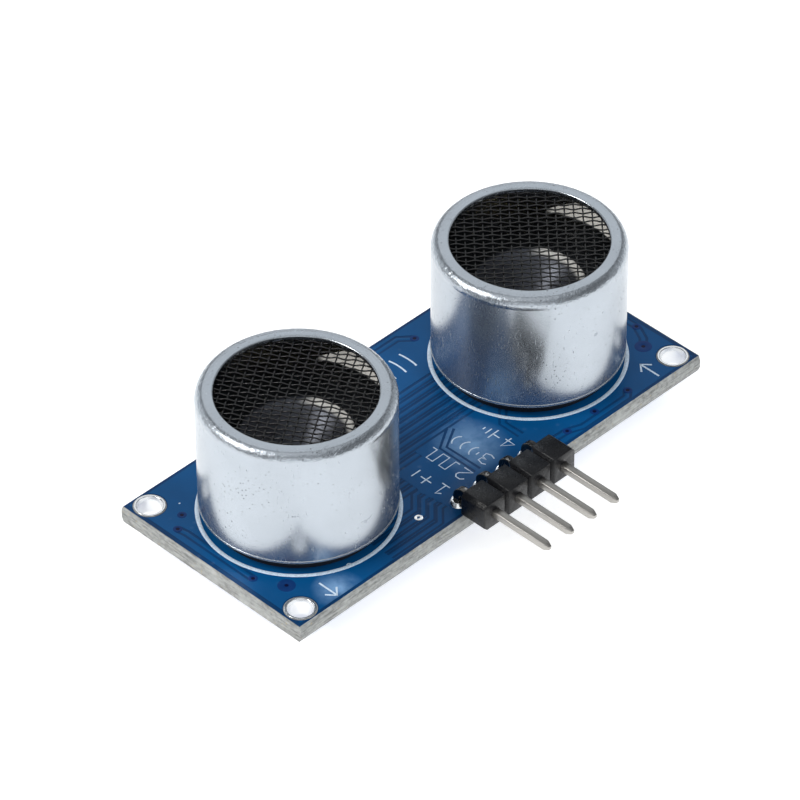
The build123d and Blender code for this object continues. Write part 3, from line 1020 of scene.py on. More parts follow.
@dataclass(frozen=True)
class MouldedPlastic(Finish):
    """Filled plastic with a fine tooth, slow waves and pale scuffs."""

    tooth: float = 0.02 * MM
    waves: float = 1.5
    sheen: float = 0.5
    scuffs: float = 0.6

    def dress(self, nodes: Nodes, shader: bpy.types.Node) -> None:
        """Fills the material's nodes.

        Args:
            nodes: The material's nodes.
            shader: Its shader.
        """
        texture = grain(nodes, 6000.0).outputs
        lines = scratches(nodes, 1400.0, self.scuffs).outputs["Mask"]
        base = nodes.blend(nodes.ramp(texture["Slow"], 0.3, 0.7), self.tone(0.8), self.tone(1.5))
        nodes.put(shader.inputs["Base Color"], nodes.blend(nodes.times(lines, 0.35), base, PLASTIC_SCUFF))
        self.gloss(nodes, shader, texture["Fine"], less=0.08)
        height = nodes.plus(texture["Fine"], nodes.times(texture["Slow"], self.waves))
        shader.inputs["Specular IOR Level"].default_value = self.sheen
        nodes.put(shader.inputs["Normal"], nodes.bump(height, self.tooth))


@dataclass(frozen=True)
class FiredCeramic(Finish):
    """Fired ceramic with fine speckles."""

    def dress(self, nodes: Nodes, shader: bpy.types.Node) -> None:
        """Fills the material's nodes.

        Args:
            nodes: The material's nodes.
            shader: Its shader.
        """
        texture = grain(nodes, 9000.0).outputs
        base = nodes.blend(nodes.ramp(texture["Fine"], 0.4, 0.62), self.tone(0.82), self.tone(1.08))
        nodes.put(shader.inputs["Base Color"], base)
        self.gloss(nodes, shader, texture["Slow"])
        nodes.put(shader.inputs["Normal"], nodes.bump(texture["Fine"], 0.006 * MM))


class Finishes:
    """Every finish on the sensor."""

    CAN = DrawnCan("drawn_aluminium", (0.465, 0.507, 0.555), 0.24, spread=0.04, pitting=1.7,
                   scratching=1.6, grain_depth=0.0035 * MM, fine=0.6, mottle=2.0)
    # The cone's colour is darkened with painted shade, for the shade and dark reflections inside the can
    CONE = RimmedCone("cone_aluminium_painted_shade", (0.115, 0.122, 0.142), 0.4, pitting=0.3)
    DIAPHRAGM = SatinMetal("diaphragm_brass", (0.75, 0.58, 0.28), 0.3, pitting=0.4)
    PLATING = SatinMetal("hole_plating", (0.86, 0.87, 0.88), 0.16, pitting=0.4, scratching=0.4)
    SOLDER = SatinMetal("solder", (0.93, 0.94, 0.95), 0.2, pitting=0.3, scratching=0.2, mottle=6.0)
    PIN = SatinMetal("tinned_pin", (0.43, 0.415, 0.39), 0.33, pitting=0.8, scratching=1.2)
    BENT_PIN = PinWithPaintedShade("tinned_header_pin", (0.43, 0.415, 0.39), 0.33, pitting=0.8, scratching=1.2)
    LEG = SatinMetal("tinned_leg", (0.70, 0.70, 0.70), 0.3, pitting=0.6)
    LID = SatinMetal("crystal_lid", (0.72, 0.69, 0.62), 0.28, pitting=0.5)
    WIRE = BlackWire("black_wire", (0.002, 0.002, 0.0025), 0.17)
    MASK = SolderMask("solder_mask", (0.002, 0.046, 0.15), 0.3)
    MASK_RAISED = SolderMask("solder_mask_over_copper", (0.002, 0.076, 0.232), 0.28, dark=0.8, painted_reflection=0.85)
    MASK_PAD = SolderMask("solder_mask_over_pads", (0.005, 0.04, 0.17), 0.3)
    MASK_SUNK = SolderMask("solder_mask_in_vias", (0.003, 0.004, 0.035), 0.3)
    EDGE = LaminateEdge("laminate", (0.42, 0.43, 0.42), 0.7)
    INK = PrintedInk("white_ink", (0.7, 0.84, 1.0), 0.45)
    HEADER = MouldedPlastic("header_plastic", (0.0045, 0.0047, 0.006), 0.3, tooth=0.015 * MM,
                            waves=6.0, sheen=0.34, scuffs=0.08)
    BASE = MouldedPlastic("base_plastic", (0.012, 0.012, 0.014), 0.42)
    CHIP = MouldedPlastic("chip_epoxy", (0.02, 0.02, 0.021), 0.55, scuffs=0.3)
    RUBBER = MouldedPlastic("silicone", (0.6, 0.6, 0.57), 0.6, scuffs=0.0)
    SEALANT = MouldedPlastic("sealant", (0.02, 0.02, 0.02), 0.35, scuffs=0.0)
    ENAMEL = MouldedPlastic("enamel", (0.3, 0.08, 0.02), 0.25, scuffs=0.0)
    GLAZE = MouldedPlastic("resistor_glaze", (0.015, 0.015, 0.017), 0.25, scuffs=0.2)
    PIEZO = FiredCeramic("piezo_ceramic", (0.6, 0.58, 0.52), 0.4)
    TAN = FiredCeramic("capacitor_ceramic", (0.42, 0.28, 0.15), 0.45)
    TRAY = FiredCeramic("crystal_ceramic", (0.16, 0.13, 0.12), 0.5)


# ---------------------------------------------------------------------------------------------
# The sensor's pieces
# ---------------------------------------------------------------------------------------------


@dataclass
class Transducer:
    """One transducer: its can, its woven grille, its cone, and the pieces inside."""

    side: str
    cloth_turn: float
    wall: float = 0.35 * MM
    nose: float = 0.8 * MM
    step: float = 0.045 * MM
    lip_edge: float = 0.12 * MM
    mouth: float = 6.4 * MM
    wire: float = 0.13 * MM
    pitch_close: float = 0.53 * MM
    pitch_open: float = 0.73 * MM
    cloth_hidden: float = 0.45 * MM
    cone_wall: float = 0.2 * MM
    cone_foot: float = 1.2 * MM

    def __post_init__(self) -> None:
        """Finds the transducer's place in the frame."""
        low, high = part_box(f"{self.side}_can")
        self.centre = axis_of(f"{self.side}_can")
        self.radius = (high[0] - low[0]) / 2
        self.bottom, self.top = low[2], high[2]

    def node(self, piece: str) -> str:
        """The name of one of this transducer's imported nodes."""
        return f"{self.side}_{piece}"

    def build(self) -> None:
        """Builds and dresses every piece."""
        self.can()
        self.grille()
        self.cone()
        self.inside()

    def can(self) -> None:
        """The drawn cup, with its rounded nose, its lip and the turned edge at its back."""
        outer, bore = self.radius - self.step, self.radius - self.wall
        edge = self.wall / 2
        inner_nose = self.nose - self.wall
        under = self.top - self.wall
        lip = self.lip_edge
        outline = arc((self.radius - edge, self.bottom + edge), edge, -180, 0, 6)
        outline += arc((outer, self.bottom + edge + 0.08 * MM), self.step, 0, 90, 3)
        outline += arc((outer - self.nose, self.top - self.nose), self.nose, 0, 90, 10)
        outline += arc((self.mouth + lip, self.top - lip), lip, 90, 180, 4)
        outline += [(self.mouth, under)]
        outline += arc((bore - inner_nose, under - inner_nose), inner_nose, 90, 0, 5)
        piece = turned(f"{self.side}_can_shell", outline, self.centre, 160)
        fit(piece, Finishes.CAN, [self.node("can")])

    def grille(self) -> None:
        """Two sets of crimped wires that pass over and under each other."""
        level = self.top - self.wall - self.wire
        reach = self.mouth + self.cloth_hidden
        curve = round_wire("cloth", self.wire, 2)
        families = ((self.cloth_turn, self.pitch_close, self.pitch_open, 1.0),
                    (self.cloth_turn - 90.0, self.pitch_open, self.pitch_close, -1.0))
        for facing, pitch, crossing, phase in families:
            across = Vector((math.cos(math.radians(facing)), math.sin(math.radians(facing))))
            along = Vector((-across.y, across.x)) * phase
            count = int(reach / pitch)
            for index in range(-count, count + 1):
                half = math.sqrt(max(0.0, reach**2 - (index * pitch) ** 2))
                steps = max(2, round(2 * half / crossing * 4))
                spline = curve.splines.new("POLY")
                spline.points.add(steps)
                for number, point in enumerate(spline.points):
                    run = -half + 2 * half * number / steps
                    swing = math.cos(math.pi * (run / crossing + index)) * phase
                    flat = across * (index * pitch) + along * run
                    point.co = (self.centre[0] + flat.x, self.centre[1] + flat.y,
                                level + swing * self.wire / 2, 1.0)
        piece = smooth(apply_place(meshed(curve, f"{self.side}_wire_cloth")), 80)
        fit(piece, Finishes.WIRE, [self.node("grille")])

    def cone(self) -> None:
        """The thin radiating cone, with a rolled rim and a dimpled foot."""
        low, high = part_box(self.node("cone"))
        foot, rim = low[2], high[2]
        outer = (high[0] - low[0]) / 2
        wall, base = self.cone_wall, self.cone_foot
        slope = (rim - foot - wall) / (outer - 2 * wall - base)
        bead = wall / 2
        outline = [(0.0, foot), (base + wall, foot)]
        outline += [(outer - 1.6 * wall, rim - 1.4 * wall)]
        outline += arc((outer - bead, rim - bead), bead, -90, 90, 5)
        outline += [(outer - 2.0 * wall, rim - 0.2 * wall)]
        for share in (0.75, 0.5, 0.25):
            run = base + (outer - 2.2 * wall - base) * share
            sag = 0.12 * wall * math.sin(share * math.pi)
            outline.append((run, foot + wall + slope * (run - base) - sag))
        outline += [(base, foot + wall), (0.35 * base, foot + wall), (0.0, foot + 1.6 * wall)]
        piece = turned(f"{self.side}_radiator_cone", outline, self.centre, 96)
        fit(piece, Finishes.CONE, [self.node("cone")])

    def inside(self) -> None:
        """The pieces behind the cone and under the can, with softened edges."""
        dressed = {
            "base": (Finishes.BASE, "base", 0.08),
            "seal": (Finishes.SEALANT, "sealant", 0.03),
            "diaphragm": (Finishes.DIAPHRAGM, "diaphragm", 0.03),
            "piezo_disc": (Finishes.PIEZO, "piezo", 0.03),
            "support_ring": (Finishes.RUBBER, "silicone", 0.06),
            "terminals": (Finishes.PIN, "terminal", 0.08),
            "leads": (Finishes.ENAMEL, "lead", 0.0),
            "solder_joints": (Finishes.SOLDER, "solder", 0.04),
        }
        for key, (finish, slot, rounding) in dressed.items():
            piece = merged_copy(self.node(key), f"{self.side}_{key}_piece", rounding * MM)
            fit(piece, finish, [self.node(key)])


@dataclass
class Header:
    """The angled header: its notched body, four pins and their solder."""

    rounding: float = 0.05 * MM
    pin_rounding: float = 0.07 * MM

    def build(self) -> None:
        """Builds and dresses the header."""
        body = merged_copy("header_body", "header_block", self.rounding)
        fit(body, Finishes.HEADER, ["header_body"])
        for name in PIN_NAMES:
            pin = merged_copy(f"header_pin_{name}", f"pin_{name}", self.pin_rounding, 3)
            fit(pin, Finishes.BENT_PIN, [f"header_pin_{name}"])
        joints = merged_copy("header_solder_joints", "header_joints", self.rounding)
        fit(joints, Finishes.SOLDER, ["header_solder_joints"])


@dataclass
class Board:
    """The board: laminate, resist on both faces, copper runs, printing and plated holes."""

    mask: float = 0.03 * MM
    mask_inset: float = 0.06 * MM
    score_inset: float = 0.18 * MM
    score_depth: float = 0.45 * MM
    ragged: float = 0.05 * MM
    splinters: int = 160
    hole_inset: Point = (1.55 * MM, 1.6 * MM)
    hole_radius: float = 1.05 * MM
    hole_rim: float = 0.2 * MM
    plating: float = 0.05 * MM
    lining_bead: float = 0.06 * MM
    mask_gap: float = 0.08 * MM
    copper: float = 0.022 * MM
    copper_inset: float = 0.45 * MM
    track: float = 0.4 * MM
    track_gap: float = 0.2 * MM

    def __post_init__(self) -> None:
        """Finds the board's place in the frame."""
        self.low, self.high = (Vector(corner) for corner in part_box("circuit_board"))
        x, y = self.hole_inset
        self.holes = [(i * (self.high.x - x), j * (self.high.y - y)) for i in (-1, 1) for j in (-1, 1)]

    def build(self) -> None:
        """Builds and dresses the board."""
        self.laminate()
        self.resist("front_mask", self.high.z - self.mask, self.high.z - self.copper)
        self.resist("back_mask", self.low.z + self.copper, self.low.z + self.mask)
        self.copper_face("front_copper", front_tracks(), self.high.z, 1.0)
        self.copper_face("back_copper", back_tracks(), self.low.z, -1.0)
        self.linings()

    def laminate(self) -> None:
        """The bare laminate, tapered along its scored edges and ragged where it broke."""
        inner = self.high.y - self.score_inset
        bottom, top = self.low.z + self.mask, self.high.z - self.mask
        piece = slab("laminate", (self.low.x, -inner, bottom), (self.high.x, inner, top))
        edit(piece, Pick.EDGES, lambda edge: all(abs(v.co.y) > 0 for v in edge.verts)
             and abs(edge.verts[0].co.x - edge.verts[1].co.x) > MM)
        bpy.ops.mesh.subdivide(number_cuts=self.splinters - 1)
        squeeze = (self.high.z - 2 * self.score_depth) / (top - bottom)
        for side in (-1, 1):
            leave()
            edit(piece, Pick.FACES, lambda face: face.normal.y * side > 0.9)
            step = (0, side * self.score_inset, 0)
            bpy.ops.mesh.extrude_region_move(TRANSFORM_OT_translate={"value": step})
            middle = (0, side * inner, (top + bottom) / 2)
            bpy.ops.transform.resize(value=(1, 1, squeeze), center_override=middle)
            bpy.ops.transform.vertex_random(offset=self.ragged, uniform=0.0, normal=0.0, seed=7 + side)
        leave()
        for vertex in piece.data.vertices:
            vertex.co.y = max(self.low.y, min(self.high.y, vertex.co.y))
            vertex.co.x = max(self.low.x, min(self.high.x, vertex.co.x))
        self.drill(piece, self.hole_radius + self.plating)
        fit(smooth(piece, 20), Finishes.EDGE, ["circuit_board"])

    def drill(self, piece: bpy.types.Object, radius: float) -> None:
        """Drills the four mounting holes through a piece."""
        cut(piece, [bar("drill", hole, radius, -MM, 3 * MM, 48) for hole in self.holes])

    def resist(self, name: str, bottom: float, top: float) -> None:
        """A skin of resist on one face, open around the plated holes.

        Args:
            name: The piece's name.
            bottom: Its lower height.
            top: Its upper height.
        """
        inner = self.high.y - self.score_inset
        left, right = self.low.x + self.mask_inset, self.high.x - self.mask_inset
        piece = slab(name, (left, -inner, bottom), (right, inner, top))
        self.drill(piece, self.hole_radius + self.hole_rim + self.mask_gap)
        fit(smooth(piece, 20), Finishes.MASK)

    def copper_face(self, name: str, tracks: Sequence[Sequence[Point]], level: float,
                    facing: float) -> None:
        """The copper of one face under its resist: a broad area, parted from the tracks in it.

        Args:
            name: The piece's name.
            tracks: Each track's points, as X and Y.
            level: The height of the copper's outer surface.
            facing: 1 on the front, and -1 on the back.
        """
        inset = self.copper_inset
        inner = level - facing * self.copper
        low = (self.low.x + inset, self.low.y + inset, min(level, inner))
        high = (self.high.x - inset, self.high.y - inset, max(level, inner))
        area = slab(name, low, high)
        channel = self.track + 2 * self.track_gap
        gaps = strokes("gaps", tracks, channel, channel / 2, (low[2] + high[2]) / 2, 0.0)
        self.drill(area, self.hole_radius + self.hole_rim + 2 * self.mask_gap)
        cut(area, [gaps])
        lines = strokes("tracks", tracks, self.track, self.copper, inner, facing)
        piece = join(name, [smooth(area, 20), lines])
        fit(piece, Finishes.MASK_RAISED)

    def linings(self) -> None:
        """A plated lining with a rounded pad on each face, in every mounting hole."""
        low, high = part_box("mounting_hole_linings")
        bore, wall = self.hole_radius, self.hole_radius + self.plating
        pad = bore + self.hole_rim
        bead = self.lining_bead
        outline = arc((bore + bead, low[2] + bead), bead, 180, 270, 3)
        outline += arc((pad - bead / 2, low[2] + bead / 2), bead / 2, -90, 0, 3)
        outline += [(pad, self.low.z), (wall, self.low.z), (wall, self.high.z), (pad, self.high.z)]
        outline += arc((pad - bead / 2, high[2] - bead / 2), bead / 2, 0, 90, 3)
        outline += arc((bore + bead, high[2] - bead), bead, 90, 180, 3)
        first = turned("lining", outline, self.holes[0], 64)
        others = []
        for hole in self.holes[1:]:
            shift = (hole[0] - self.holes[0][0], hole[1] - self.holes[0][1], 0.0)
            others.append(copied(first, "lining", shift))
        piece = join("hole_linings", [first, *others])
        fit(smooth(piece), Finishes.PLATING, ["mounting_hole_linings"])


def bus(start: float, end: float, first: float, pitch: float, count: int) -> list[list[Point]]:
    """Parallel straight tracks along the board.

    Args:
        start: Where they start, along X.
        end: Where they end.
        first: The first one's Y.
        pitch: From one to the next.
        count: How many there are.

    Returns:
        Each track's points.
    """
    return [[(start, first - pitch * i), (end, first - pitch * i)] for i in range(count)]


def dogleg(start: Point, run: float, rise: float, tail: float) -> list[Point]:
    """A track along X with one step at 45 degrees in it.

    Args:
        start: Its first point.
        run: How far it goes before the step.
        rise: How far the step moves it along Y.
        tail: How far it goes on after the step.

    Returns:
        Its points.
    """
    x, y = start
    bend = x + run
    far = bend + math.copysign(abs(rise), run)
    return [start, (bend, y), (far, y + rise), (far + math.copysign(tail, run), y + rise)]


def axis_of(node: str) -> Point:
    """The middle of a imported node, as X and Y."""
    low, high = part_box(node)
    return (low[0] + high[0]) / 2, (low[1] + high[1]) / 2


def pin_places() -> list[float]:
    """Where the header's pins stand along X."""
    return [axis_of(f"header_pin_{name}")[0] for name in PIN_NAMES]


def front_tracks() -> list[list[Point]]:
    """Draws the tracks on the board's front, most of them between the cans.

    Returns:
        Each track's points.
    """
    pitch = 0.85 * MM
    tracks = bus(-9.5 * MM, 9.5 * MM, 3.7 * MM, pitch, 7)
    tracks += bus(-9.0 * MM, -1.9 * MM, -2.25 * MM, pitch, 1)
    tracks += bus(-9.0 * MM, -4.9 * MM, -3.1 * MM, pitch, 3)
    for index in range(4):
        start = (-12.0 * MM, (-6.7 - 0.8 * index) * MM)
        tracks.append(dogleg(start, (5.2 + 0.1 * index) * MM, 1.25 * MM, 0.5 * MM))
    _, trigger, _, ground = (place / MM for place in pin_places())
    tracks.append(in_mm((trigger + 1.27, -6.9), (trigger + 1.27, -3.1), (2.1, -1.85)))
    tracks.append(in_mm((ground + 1.6, -6.4), (ground + 1.6, -4.4), (9.0, -1.0)))
    tracks.append(in_mm((ground + 0.9, -8.5), (8.3, -8.7)))
    tracks.append(in_mm((8.3, -8.7), (9.6, -9.2), (14.7, -9.2), (15.3, -8.7)))
    tracks.append(in_mm((20.15, -5.9), (20.9, -5.2), (21.6, -3.8), (21.6, 3.0)))
    tracks.append(in_mm((-21.15, -3.4), (-21.15, 4.0), (-21.3, 4.85)))
    tracks.append(in_mm((7.95, 7.95), (6.9, 8.9), (-7.4, 8.9), (-8.4, 7.9)))
    return tracks


def leg_rows(node: str, pitch: float = 1.27 * MM) -> list[tuple[float, float, float]]:
    """Finds where a chip's legs end.

    Args:
        node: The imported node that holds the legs.
        pitch: From one leg to the next.

    Returns:
        Each leg's X, its Y and which side of the chip it is on.
    """
    low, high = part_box(node)
    count = round((high[1] - low[1]) / pitch)
    found = []
    for side, x in ((-1.0, low[0]), (1.0, high[0])):
        for index in range(count + 1):
            y = (low[1] + high[1]) / 2 + (index - count / 2) * pitch
            found.append((x, y, side))
    return found


def back_tracks() -> list[list[Point]]:
    """Draws the tracks on the board's back: one from each chip's leg, and the runs between them.

    Returns:
        Each track's points.
    """
    tracks = []
    lengths = (0.5 * MM, 0.95 * MM)
    for node in ("transmit_driver_legs", "controller_legs", "receive_amplifier_legs"):
        for index, (x, y, side) in enumerate(leg_rows(node)):
            run = lengths[index % 2] * side
            step = 0.4 * MM * (1 if index % 4 < 2 else -1)
            tracks.append([(x - side * 0.3 * MM, y), (x + run, y), (x + run + side * abs(step), y + step)])
    for x in pin_places():
        tracks.append([(x, -7.8 * MM), (x, -5.9 * MM), (x * 0.8, -5.0 * MM)])
    for row in (-9.0 * MM, 9.1 * MM):
        tracks.append([(-17.8 * MM, row), (-6.0 * MM, row)])
        tracks.append([(6.0 * MM, row), (17.8 * MM, row)])
    return tracks


@dataclass
class Vias:
    """The vias: dimples in the resist, and one that was left bare."""

    ring: float = 0.38 * MM
    wide: float = 1.9
    bare_width: float = 0.9
    dimple: float = 0.17 * MM
    proud: float = 0.014 * MM
    fill: float = 0.011 * MM
    sunk: float = 0.012 * MM
    places: Sequence[Point] = ((-19.95, 5.8), (-21.3, 4.85), (-21.15, -3.4), (21.6, -3.8), (15.3, -8.7),
                               (11.55, -8.6), (8.3, -8.7), (7.95, 7.95))
    wide_places: Sequence[Point] = ((-19.9, -5.8), (20.15, -5.9))
    bare: Point = (-7.25, -7.55)

    def build(self) -> None:
        """Builds and dresses the vias of both faces."""
        low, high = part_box("circuit_board")
        usual, wide = in_mm(*self.places), in_mm(*self.wide_places)
        for name, level, facing in (("front_vias", high[2], 1.0), ("back_vias", low[2], -1.0)):
            rings = [self.via(*place, level, facing, 1.0) for place in usual]
            rings += [self.via(*place, level, facing, self.wide) for place in wide]
            fit(join(name, rings), Finishes.MASK_PAD)
            dots = [self.dot(*place, level, facing) for place in usual + wide]
            fit(join(f"{name}_holes", dots), Finishes.MASK_SUNK)
        bare = self.via(*in_mm(self.bare)[0], high[2], 1.0, self.bare_width)
        fit(bare, Finishes.SOLDER)

    def dot(self, x: float, y: float, level: float, facing: float) -> bpy.types.Object:
        """The filled hole in the middle of a via.

        Args:
            x: Its place along X.
            y: Its place along Y.
            level: The height of the face that it is on.
            facing: 1 on the front, and -1 on the back.

        Returns:
            The filling.
        """
        reach = level + facing * self.fill
        low, high = min(level, reach), max(level, reach)
        return bar("via_hole", (x, y), self.dimple, low, high, 20)

    def via(self, x: float, y: float, level: float, facing: float, width: float) -> bpy.types.Object:
        """One via: a low ring around a dimple.

        Args:
            x: Its place along X.
            y: Its place along Y.
            level: The height of the face that it is on.
            facing: 1 on the front, and -1 on the back.
            width: Its ring's width, as a share of the usual.

        Returns:
            The ring.
        """
        outer = self.ring * width
        top, floor = level + facing * self.proud, level - facing * self.sunk
        outline = [(0.0, floor), (self.dimple * 0.7, floor), (self.dimple, top), (outer * 0.8, top)]
        outline += [(outer, level), (outer, floor - facing * self.sunk), (0.0, floor - facing * self.sunk)]
        return turned("via", outline, (x, y), 24)


@dataclass
class Printing:
    """The white printing: a ring round each can, and plain marks for the pins and the sides."""

    height: float = 0.02 * MM
    ring_outer: float = 8.12 * MM
    ring_width: float = 0.34 * MM
    bold: float = 0.2 * MM
    fine: float = 0.14 * MM
    waves: int = 5
    wave_middle: Point = (0.0, 6.45 * MM)
    wave_pitch: float = 1.15 * MM
    wave_half: float = 1.0 * MM
    mark_start: float = -6.95 * MM
    mark_shift: float = 0.75 * MM
    mark_height: float = 1.25 * MM
    margin: float = 0.3 * MM

    def build(self) -> None:
        """Builds and dresses the printing of both faces."""
        low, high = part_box("circuit_board")
        pieces = [self.ring(axis_of(f"{side}_can"), high[2]) for side in CLOTH_TURNS]
        bold, fine = self.side_marks() + self.wave_marks(), self.pin_marks() + self.small_marks()
        pieces.append(strokes("bold_marks", bold, self.bold, self.height, high[2]))
        pieces.append(strokes("fine_marks", fine, self.fine, self.height, high[2]))
        fit(join("front_printing", pieces), Finishes.INK)
        back = strokes("back_printing", self.outlines(), self.fine, self.height, low[2], -1.0)
        fit(back, Finishes.INK)

    def ring(self, centre: Point, level: float) -> bpy.types.Object:
        """The ring round one can.

        Args:
            centre: The can's axis, as X and Y.
            level: The height of the board's face.

        Returns:
            The ring.
        """
        outer, inner = self.ring_outer, self.ring_outer - self.ring_width
        rise = self.height
        outline = [(inner, level - rise), (outer, level - rise), (outer, level + rise * 0.5)]
        outline += [(outer - rise, level + rise), (inner + rise, level + rise), (inner, level + rise * 0.5)]
        return turned("ring", outline, centre, 128)

    def side_marks(self) -> list[list[Point]]:
        """Draws an arrow out of the board by the transmitter, and one into it by the receiver.

        Returns:
            Each line's points.
        """
        lines = []
        for x, tip, tail in ((-17.95 * MM, -9.35 * MM, -7.4 * MM), (18.35 * MM, -7.25 * MM, -9.3 * MM)):
            barb = math.copysign(0.7 * MM, tail - tip)
            lines.append([(x, tail), (x, tip)])
            lines.append([(x - 0.62 * MM, tip + barb), (x, tip), (x + 0.62 * MM, tip + barb)])
        return lines

    def wave_marks(self) -> list[list[Point]]:
        """Draws sound waves that spread both ways from the middle of the rear edge.

        Returns:
            Each line's points.
        """
        lines = []
        for side in (0.0, 180.0):
            for number in range(1, self.waves + 1):
                radius = self.wave_pitch * number
                half = math.degrees(self.wave_half / radius if number > 1 else 0.8)
                lines.append(arc(self.wave_middle, radius, side - half, side + half, 8))
        return lines

    def pin_marks(self) -> list[list[Point]]:
        """Draws a number for each pin, and a sign for what it does: supply, pulse, echo and ground.

        Returns:
            Each line's points.
        """
        numbers = (
            [[(0.1, 0.75), (0.42, 1.0), (0.42, 0.0)], [(0.1, 0.0), (0.75, 0.0)]],
            [[(0.05, 0.8), (0.25, 1.0), (0.6, 1.0), (0.75, 0.8), (0.7, 0.58), (0.05, 0.0), (0.8, 0.0)]],
            [[(0.05, 0.88), (0.3, 1.0), (0.7, 0.9), (0.68, 0.6), (0.35, 0.54), (0.72, 0.46), (0.75, 0.12),
              (0.4, 0.0), (0.05, 0.12)]],
            [[(0.62, 0.0), (0.62, 1.0), (0.05, 0.3), (0.85, 0.3)]],
        )
        arcs = []
        for number in range(3):
            radius, start = 0.5, 1.2 + 0.75 * number
            turns = [math.radians(-58 + 116 * i / 6) for i in range(7)]
            arcs.append([(start + radius * math.cos(t), 0.5 + radius * 1.1 * math.sin(t)) for t in turns])
        signs = (
            [[(1.25, 0.5), (2.15, 0.5)], [(1.7, 0.05), (1.7, 0.95)], [(2.6, 0.1), (2.6, 0.9)]],
            [[(1.2, 0.0), (1.55, 0.0), (1.55, 1.0), (2.1, 1.0), (2.1, 0.0), (2.65, 0.0), (2.65, 1.0),
              (3.2, 1.0), (3.2, 0.0), (3.55, 0.0)]],
            arcs + [[(1.15, 0.35), (1.15, 0.65)]],
            [[(1.2, 0.5), (1.75, 0.5)], [(1.75, 0.0), (1.75, 1.0)], [(2.15, 0.2), (2.15, 0.8)],
             [(2.55, 0.38), (2.55, 0.62)]],
        )
        lines = []
        tall = self.mark_height
        for place, number, sign in zip(pin_places(), numbers, signs):
            foot = place + self.mark_shift
            for line in number + sign:
                lines.append([(foot - tall * up, self.mark_start + tall * along) for along, up in line])
        return lines

    def small_marks(self) -> list[list[Point]]:
        """A dot by one corner and a small circle on the transmitter's ring."""
        dot = in_mm((-19.2, 6.93), (-19.08, 6.93))
        return [dot, arc((-14.9 * MM, -7.6 * MM), 0.2 * MM, 0.0, 360.0, 10)]

    def outlines(self) -> list[list[Point]]:
        """Draws a box round the crystal, a line beside each chip's ends, and a dot by its first leg.

        Returns:
            Each line's points.
        """
        lines = []
        for node in ("transmit_driver_chip", "controller_chip", "receive_amplifier_chip"):
            low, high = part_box(node)
            for y in (low[1] - self.margin, high[1] + self.margin):
                lines.append([(low[0], y), (high[0], y)])
            dot = (low[0] - 2 * self.margin, high[1] + self.margin)
            lines.append([dot, (dot[0] + self.margin / 2, dot[1])])
        low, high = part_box("crystal_tray")
        left, near = low[0] - self.margin, low[1] - self.margin
        right, far = high[0] + self.margin, high[1] + self.margin
        lines.append([(left, near), (right, near), (right, far), (left, far), (left, near)])
        return lines


@dataclass
class BackParts:
    """The chips, the crystal and the small parts on the board's back."""

    def build(self) -> None:
        """Rounds and dresses every part."""
        chips = ("transmit_driver", "controller", "receive_amplifier")
        parts = {f"{chip}_chip": (Finishes.CHIP, "chip_plastic", 0.06) for chip in chips}
        parts["supply_switch_transistor"] = (Finishes.CHIP, "chip_plastic", 0.04)
        for part in (*chips, "supply_switch"):
            parts[f"{part}_legs"] = (Finishes.LEG, "leg_metal", 0.04)
        parts |= {
            "crystal_tray": (Finishes.TRAY, "crystal_ceramic", 0.05),
            "crystal_lid": (Finishes.LID, "crystal_lid", 0.06),
            "resistor_bodies": (Finishes.GLAZE, "resistor_body", 0.03),
            "resistor_end_caps": (Finishes.SOLDER, "end_cap", 0.05),
            "capacitor_bodies": (Finishes.TAN, "capacitor_body", 0.04),
            "capacitor_end_caps": (Finishes.SOLDER, "end_cap", 0.06),
        }
        for node, (finish, slot, rounding) in parts.items():
            piece = merged_copy(node, f"{node}_piece", rounding * MM)
            fit(piece, finish, [node])


# ---------------------------------------------------------------------------------------------
# The studio
# ---------------------------------------------------------------------------------------------


